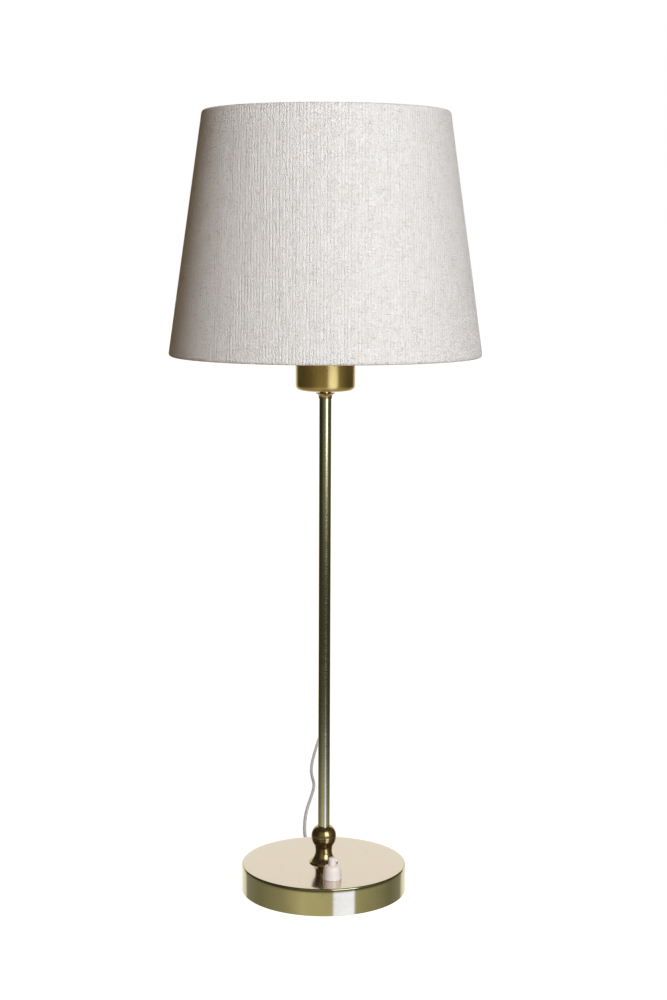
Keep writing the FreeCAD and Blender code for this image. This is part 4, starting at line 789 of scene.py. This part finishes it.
def switch_bell():
    bore, rim, mouth = 5.1, 8.2, 3.6
    shoulder, roof, top = BASE_TOP + 9.2, BASE_TOP + 8.6, BASE_TOP + 12.5
    bell = Outline(bore, BASE_TOP).line(rim, BASE_TOP).line(rim, BASE_TOP + 0.9)
    bell.line(7.4, shoulder, 3).arc(3.9, top, 4.2, 9)
    bell.line(mouth, top).line(mouth, roof).line(bore, roof).close()
    return make_piece("switch_bell_moulded", bell.turn(96, SWITCH_AT), IVORY, "lamp",
                      ["switch_bell"], bevel=0.25)


def switch_knob():
    spindle, spindle_foot, cam_size = 2.0, 12.0, (7.0, 2.4, 3.0)
    radius, foot, top, rounding, lobe, lobe_height = 3.5, 34.0, 43.2, 1.3, 1.3, 2.6
    knob = Outline(0, spindle_foot).line(spindle, spindle_foot).line(spindle, foot)
    knob.line(radius, foot).line(radius, top - rounding)
    knob.arc(radius - rounding, top, rounding, 5).line(0, top)
    bm = knob.turn(72, SWITCH_AT)
    bmesh.ops.translate(bm, verts=add_rod(bm, lobe, lobe_height, 32),
                        vec=mm(SWITCH_AT[0] + radius, SWITCH_AT[1], 41.25))
    add_block(bm, cam_size, (*SWITCH_AT, spindle_foot + cam_size[2] / 2))
    return make_piece("switch_knob_moulded", bm, IVORY, "switch_knob", ["switch_knob"],
                      bevel=0.3)


switch_bell()
switch_knob()


# Shade

WIRE, HEM, CLOTH, PLAY = 1.45, 9.0, 0.9, 0.3
FILM, FILM_BACK = 0.5, 1.0
SEAM_WIDTH, SEAM_STEP = 9.0, 0.45
WRAP = WIRE + PLAY
ROLL = WRAP + CLOTH
LOW_WIRE, HIGH_WIRE = (131.35, 476.25), (102.55, 676.95)
SLANT = hypot(LOW_WIRE[0] - HIGH_WIRE[0], HIGH_WIRE[1] - LOW_WIRE[1])
OUTWARD = (LOW_WIRE[0] - HIGH_WIRE[0]) / SLANT
UPWARD = (HIGH_WIRE[1] - LOW_WIRE[1]) / SLANT
CONE_APEX = (HIGH_WIRE[1] + HIGH_WIRE[0] * UPWARD / OUTWARD) * MM
CONE_HALF_ANGLE = atan2(OUTWARD, UPWARD)


def beside(wire, out, down):
    """A point beside a wire: out across the wall and down along it."""
    return (wire[0] + UPWARD * out + OUTWARD * down, wire[1] + OUTWARD * out - UPWARD * down)


def shade_fabric():
    low, high = LOW_WIRE, HIGH_WIRE
    cloth = Outline(*beside(low, ROLL, 0)).line(*beside(low, ROLL, -HEM))
    cloth.line(*beside(high, ROLL, HEM), 24).line(*beside(high, ROLL, 0))
    cloth.arc(*beside(high, 0, -ROLL), ROLL, 6).arc(*beside(high, -ROLL, 0), ROLL, 6)
    cloth.line(*beside(high, -ROLL, HEM), 3).line(*beside(high, -WRAP, HEM))
    cloth.line(*beside(high, -WRAP, 0)).arc(*beside(high, 0, -WRAP), -WRAP, 5)
    cloth.arc(*beside(high, WRAP, 0), -WRAP, 5).line(*beside(low, WRAP, 0), 12)
    cloth.arc(*beside(low, 0, WRAP), -WRAP, 5).arc(*beside(low, -WRAP, 0), -WRAP, 5)
    cloth.line(*beside(low, -WRAP, -HEM)).line(*beside(low, -ROLL, -HEM))
    cloth.line(*beside(low, -ROLL, 0), 3).arc(*beside(low, 0, ROLL), ROLL, 6)
    cloth.arc(*beside(low, ROLL, 0), ROLL, 6)
    bm = cloth.turn(240)
    lay_flat(bm, CONE_APEX, CONE_HALF_ANGLE)
    shade = make_piece("shade_linen", bm, LINEN, "shade", ["shade_fabric"])
    for edge in shade.data.edges:
        edge.use_edge_sharp = False
    return shade


def shade_lining():
    face, back = WRAP - PLAY, WRAP - PLAY - FILM
    edge = WIRE + FILM_BACK
    film = Outline(*beside(LOW_WIRE, face, -edge)).line(*beside(HIGH_WIRE, face, edge), 10)
    film.line(*beside(HIGH_WIRE, back, edge)).line(*beside(LOW_WIRE, back, -edge), 10)
    bm = film.close().turn(160)
    lay_flat(bm, CONE_APEX, CONE_HALF_ANGLE)
    return make_piece("shade_film", bm, LINING, "shade", ["shade_lining"])


def shade_seam():
    """The overlap of the cloth, glued down the back."""
    bm = bmesh.new()
    add_block(bm, (SEAM_WIDTH, SEAM_STEP, SLANT - 1.0))
    lean = Matrix.Rotation(CONE_HALF_ANGLE, 3, "X")
    bmesh.ops.rotate(bm, verts=bm.verts[:], matrix=lean)
    low, high = beside(LOW_WIRE, ROLL, 0), beside(HIGH_WIRE, ROLL, 0)
    middle = (low[0] + high[0]) / 2, (low[1] + high[1]) / 2
    bmesh.ops.translate(bm, verts=bm.verts[:], vec=mm(0, middle[0], middle[1]))
    lay_flat(bm, CONE_APEX, CONE_HALF_ANGLE)
    return make_piece("shade_seam", bm, LINEN, "shade", bevel=0.15, segments=2)


def wire_ring(name, wire, radius, stands_for, finish):
    ring = Outline(wire[0] + radius, wire[1])
    ring.arc(wire[0], wire[1] + radius, radius, 4).arc(wire[0] - radius, wire[1], radius, 4)
    ring.arc(wire[0], wire[1] - radius, radius, 4).arc(wire[0] + radius, wire[1], radius, 4)
    return make_piece(name, ring.turn(160), finish, "shade", stands_for)


def shade_frame():
    bore, rim, low, high = 20.9, 26.6, 497.15, 500.35
    bm = Outline(bore, low).line(rim, low).line(rim, high).line(bore, high).close().turn(96)
    inner, height = (bore + rim) / 2, (low + high) / 2
    reach, drop = LOW_WIRE[0] - inner, height - LOW_WIRE[1]
    spoke_radius, weld_radius = 1.25, 1.9
    for number in range(3):
        angle = radians(90 + number * 120)
        spoke = add_rod(bm, spoke_radius, hypot(reach, drop), 20)
        lean = Matrix.Rotation(atan2(reach, -drop), 3, "Y")
        bmesh.ops.rotate(bm, verts=spoke, matrix=lean)
        bmesh.ops.translate(bm, verts=spoke, vec=mm(inner + reach / 2, 0, height - drop / 2))
        bmesh.ops.rotate(bm, verts=spoke, matrix=Matrix.Rotation(angle, 3, "Z"))
        for radius, level in ((inner + 2.4, height - 0.5), (LOW_WIRE[0] - 0.8, LOW_WIRE[1] + 0.3)):
            weld = bmesh.ops.create_uvsphere(bm, u_segments=16, v_segments=10,
                                             radius=weld_radius * MM)
            bmesh.ops.translate(bm, verts=weld["verts"], vec=mm(radius, 0, level))
            bmesh.ops.rotate(bm, verts=weld["verts"], matrix=Matrix.Rotation(angle, 3, "Z"))
    return make_piece("shade_fitter_and_spokes", bm, WHITE_PAINT, "shade", ["shade_frame"],
                      bevel=0.25, segments=2)


linen = shade_fabric()
shade_lining()
shade_seam()
wire_ring("shade_bottom_wire", LOW_WIRE, WIRE, (), WHITE_PAINT)
wire_ring("shade_top_wire", HIGH_WIRE, WIRE, ["shade_top_ring"], WHITE_PAINT)
shade_frame()


# Lampholder and its rings

NOTCHES = 48


def notch_rim(bm, radius, depth, low, high):
    """Every third corner of a rim between two heights, pressed in."""
    for vert in bm.verts:
        across = hypot(vert.co.x, vert.co.y) / MM
        corner = round(atan2(vert.co.y, vert.co.x) / tau * NOTCHES * 3)
        if across > radius - 0.2 and low < vert.co.z / MM < high and corner % 3 == 0:
            vert.co.x *= 1 - depth / radius
            vert.co.y *= 1 - depth / radius


def holder_skirt():
    radius, root, collar, bore, socket = 19.8, 19.3, 20.6, 17.4, 19.1
    foot, shoulder, top, pitch = 462.0, 472.0, 514.0, 3.0
    skirt = Outline(socket, foot).line(collar, foot).line(collar, shoulder + 0.5)
    skirt.line(radius, shoulder + 0.5)
    for number in range(12):
        level = 476.0 + number * pitch
        skirt.line(radius, level).line(root, level + 0.6).line(root, level + 1.3)
        skirt.line(radius, level + 1.9)
    skirt.line(radius, top).line(bore, top).line(bore, shoulder).line(socket, shoulder).close()
    return make_piece("holder_skirt_moulded", skirt.turn(128), HOLDER, "lamp",
                      ["lampholder_skirt"], bevel=0.12, segments=2)


def shade_rings():
    bore, rim, low, high, edge = 19.9, 25.5, 494.0, 497.0, 0.5
    rest = Outline(bore, low).line(rim, low).line(rim, low + edge).line(rim, high - edge)
    bm = rest.line(rim, high).line(bore, high).close().turn(NOTCHES * 3)
    notch_rim(bm, rim, 0.5, low + 0.2, high - 0.2)
    make_piece("rest_ring_moulded", bm, HOLDER, "lamp", ["shade_rest_ring"])
    low, high, flange, rim = 500.5, 507.5, 25.3, 24.3
    step = low + (high - low) / 3
    clamp = Outline(bore, low).line(flange, low).line(flange, step).line(rim, step)
    clamp.line(rim, step + 0.6).line(rim, high - 0.6).line(rim - 0.4, high)
    bm = clamp.line(bore, high).close().turn(NOTCHES * 3)
    notch_rim(bm, rim, 0.6, step + 0.3, high - 0.3)
    make_piece("clamp_ring_moulded", bm, HOLDER, "lamp", ["shade_clamp_ring"])


holder_skirt()
shade_rings()


# Bulb

def bulb_cap():
    """Rolled sheet: a tip, a thread from root to crest, and a wider lip round the glass."""
    tip, root, crest, lip, bore, lip_bore = 6.1, 12.5, 13.15, 13.2, 12.1, 12.8
    first_turn, pitch, top = 489.0, 3.6, 509.3
    cap = Outline(tip, 484.8).line(tip + 0.4, 484.8).line(root, 488.3)
    for number in range(4):
        level = first_turn + number * pitch
        cap.line(root, level).line(crest, level + 0.9).line(crest, level + 1.7)
        cap.line(root, level + 2.6)
    cap.line(lip - 0.3, 504.2).line(lip, 505.0).line(lip, top).line(lip_bore, top)
    cap.line(lip_bore, 503.0).line(bore, 502.6).line(bore, 488.6).line(tip, 485.2).close()
    return make_piece("bulb_cap_rolled", cap.turn(128), ALUMINIUM, "lamp", ["bulb_cap"],
                      bevel=0.1, segments=2)


def bulb_glass():
    foot, mouth, neck, globe, middle = 503.3, 12.5, 14.5, 30.0, 559.8
    glass = Outline(mouth - 0.8, foot).line(mouth, foot).line(mouth, foot + 6.0, 2)
    glass.line(neck, 512.8, 2).line(neck, 521.5, 3).arc(21.55, 538.95, -25.0, 10)
    bm = glass.arc(globe, middle, globe, 12).arc(0, middle + globe, globe, 22).turn(128)
    return make_piece("bulb_globe", bm, OPAL, "lamp", ["bulb_glass"])


bulb_cap()
bulb_glass()


# Light, floor and room

# Shares of the room's radius between which one band of the room's walls gives way to the next
FLOOR_END, WALL_FOOT, NEAR_FLOOR_END = (-0.275, -0.240), (-0.10, -0.06), (-0.56, -0.66)
WALL_HEAD, CEILING_START = (0.62, 0.72), (0.90, 0.96)
NEAR_FLOOR, CEILING = colour(0.48, 0.45, 0.38), colour(0.03, 0.03, 0.03)
ROOM_RADIUS, FLOOR_HALF, FLOOR_DROP = 4.5, 15, 0.0001
STRIP_LEVEL = 1.87
WARM_FILL, PALE_FILL = colour(1.0, 0.66, 0.28), colour(1.0, 0.93, 0.86)
ROOM_FILL, TOP_FILL, BACK_FILL = 0.13, 0.2, 1.6
KEY_WATTS, KEY_ASIDE = 55.0, 20.0
SOFTBOX_WATTS, SOFTBOX_ASIDE = 16.5, 30.0
FLOOR_NEAR = 0.93
WALL_LEVELS = [
    (-178, 1.0), (-142, 1.0), (-139, 0.045), (-60, 0.045), (-20, 0.28), (10, 0.30), (44, 0.35),
    (90, 0.10), (139, 0.07), (142, 1.0), (178, 1.0),
]
GAP_LEVELS = [(-178, 1.0), (-142, 1.0), (-139, 0.055), (139, 0.055), (142, 1.0), (178, 1.0)]
FLOOR_LEVELS = [
    (-178, 1.0), (-142, 1.0), (-136, 0.33), (-100, 0.29), (-60, 0.44), (-28, 0.82), (0, 0.78),
    (13, 0.76), (14, STRIP_LEVEL), (43, STRIP_LEVEL), (44, 0.60), (80, 0.42), (105, 0.27),
    (136, 0.36), (142, 1.0), (178, 1.0),
]


def studio_world():
    world = bpy.data.worlds.new("studio")
    scene.world = world
    world.use_nodes = True
    nodes = Nodes(world.node_tree)
    background = world.node_tree.nodes["Background"]
    way = nodes.parts(nodes.add("ShaderNodeTexCoord").outputs["Generated"])
    rays = nodes.add("ShaderNodeLightPath").outputs
    seen = nodes.sum("MAXIMUM", rays["Is Camera Ray"], rays["Is Glossy Ray"])
    seen = nodes.sum("MAXIMUM", seen, rays["Is Transmission Ray"])
    back = nodes.sum("MULTIPLY", nodes.fit(way[1], 0.70, 0.86), nodes.fit(way[0], -0.3, 0.3))
    above = nodes.fit(way[2], 0.2, 1.0)
    fill = nodes.sum("MULTIPLY_ADD", back, BACK_FILL, ROOM_FILL)
    fill = nodes.sum("MULTIPLY_ADD", above, TOP_FILL, fill)
    fill = nodes.sum("MULTIPLY", fill, nodes.sum("SUBTRACT", 1.0, seen))
    nodes.give(background.inputs["Strength"], nodes.sum("ADD", fill, seen))
    tint = nodes.blend(nodes.fit(way[1], -0.1, 0.5), WARM_FILL, PALE_FILL)
    tint = nodes.blend(seen, tint, colour(1.0, 1.0, 1.0))
    nodes.give(background.inputs["Color"], tint)


def panel_light(name, watts, aside, away, height, size, drop, tint, mirrored):
    """A rectangular lamp seen either by matt surfaces or in reflections alone."""
    data = bpy.data.lights.new(name, "AREA")
    data.shape = "RECTANGLE"
    data.size, data.size_y = size
    data.energy = watts
    data.color = tint
    lamp = add_object(name, data)
    aside = radians(aside)
    place = Vector((away * sin(aside), -away * cos(aside), height))
    toward = Vector((-place.x, -place.y, -drop))
    lamp.matrix_world = (Matrix.Translation(place)
                         @ toward.to_track_quat("-Z", "Y").to_matrix().to_4x4())
    lamp.visible_camera = False
    lamp.visible_glossy = mirrored
    lamp.visible_diffuse = not mirrored


def level_ramp(nodes, at, levels):
    """Brightness by direction, in degrees from the front toward the right; the strip is cold."""
    facing = nodes.sum("ARCTAN2", at[0], nodes.sum("MULTIPLY", at[1], -1.0))
    ramp = nodes.add("ShaderNodeValToRGB", {
        "Fac": nodes.sum("MULTIPLY_ADD", facing, 1 / tau, 0.5)})
    stops = ramp.color_ramp.elements
    for direction, level in levels:
        stop = stops.new(direction / 360 + 0.5)
        stop.color = colour(level, level * 0.98, level * 0.87)
        if level == STRIP_LEVEL:
            stop.color = colour(level, level * 1.1, level * 2.3)
    stops.remove(stops[0])
    stops.remove(stops[-1])
    return ramp.outputs[0]


def room_walls():
    """The room and floor round the set, as reflections show them; pale behind the object."""
    bm = bmesh.new()
    bmesh.ops.create_uvsphere(bm, u_segments=96, v_segments=48, radius=ROOM_RADIUS)
    mesh = mesh_of("room_walls", bm)
    material, nodes, shader, place = new_finish("room_walls", 1.0)
    material.node_tree.nodes.remove(shader)
    at = nodes.parts(place)
    height = nodes.sum("DIVIDE", at[2], ROOM_RADIUS)
    floor, gap, wall = (level_ramp(nodes, at, levels)
                        for levels in (FLOOR_LEVELS, GAP_LEVELS, WALL_LEVELS))
    glow = nodes.blend(nodes.fit(height, *FLOOR_END), floor, gap)
    glow = nodes.blend(nodes.fit(height, *WALL_FOOT), glow, wall)
    glow = nodes.blend(nodes.fit(height, *NEAR_FLOOR_END), glow, NEAR_FLOOR)
    glow = nodes.blend(nodes.fit(height, *WALL_HEAD), glow, gap)
    glow = nodes.blend(nodes.fit(height, *CEILING_START), glow, CEILING)
    light = nodes.add("ShaderNodeEmission", {"Color": glow})
    out = material.node_tree.nodes["Material Output"]
    nodes.give(out.inputs["Surface"], light.outputs[0])
    material.cycles.emission_sampling = "NONE"
    mesh.materials.append(material)
    walls = add_object("room_walls", mesh)
    for ray in ("camera", "diffuse", "transmission", "shadow", "volume_scatter"):
        setattr(walls, "visible_" + ray, False)


def studio_floor():
    bm = bmesh.new()
    bmesh.ops.create_grid(bm, x_segments=40, y_segments=40, size=FLOOR_HALF)
    bmesh.ops.translate(bm, verts=bm.verts[:], vec=(0, 0, -FLOOR_DROP))
    mesh = mesh_of("studio_floor", bm)
    material, nodes, shader, place = new_finish(
        "studio_floor", 0.9, Base_Color=colour(0.42, 0.34, 0.26), Specular_IOR_Level=0.0,
        Emission_Color=colour(1.0, 1.0, 1.0))
    rays = nodes.add("ShaderNodeLightPath").outputs
    seen = nodes.sum("MAXIMUM", rays["Is Camera Ray"], rays["Is Transmission Ray"])
    near = nodes.fit(nodes.reach(nodes.parts(place)), 0.3, 1.2, FLOOR_NEAR, 1.0)
    nodes.give(shader.inputs["Emission Strength"], nodes.sum("MULTIPLY", near, seen))
    material.cycles.emission_sampling = "NONE"
    mesh.materials.append(material)
    floor = add_object("studio_floor", mesh)
    floor.visible_glossy = False


studio_world()
panel_light("key", KEY_WATTS, KEY_ASIDE, 1.9, 0.95, (0.7, 1.3), 0.3, (0.945, 0.985, 1.05), False)
panel_light("softbox", SOFTBOX_WATTS, SOFTBOX_ASIDE, 1.7, 0.89, (1.1, 1.4), 0.0,
            (0.82, 0.93, 1.12), True)
room_walls()
studio_floor()
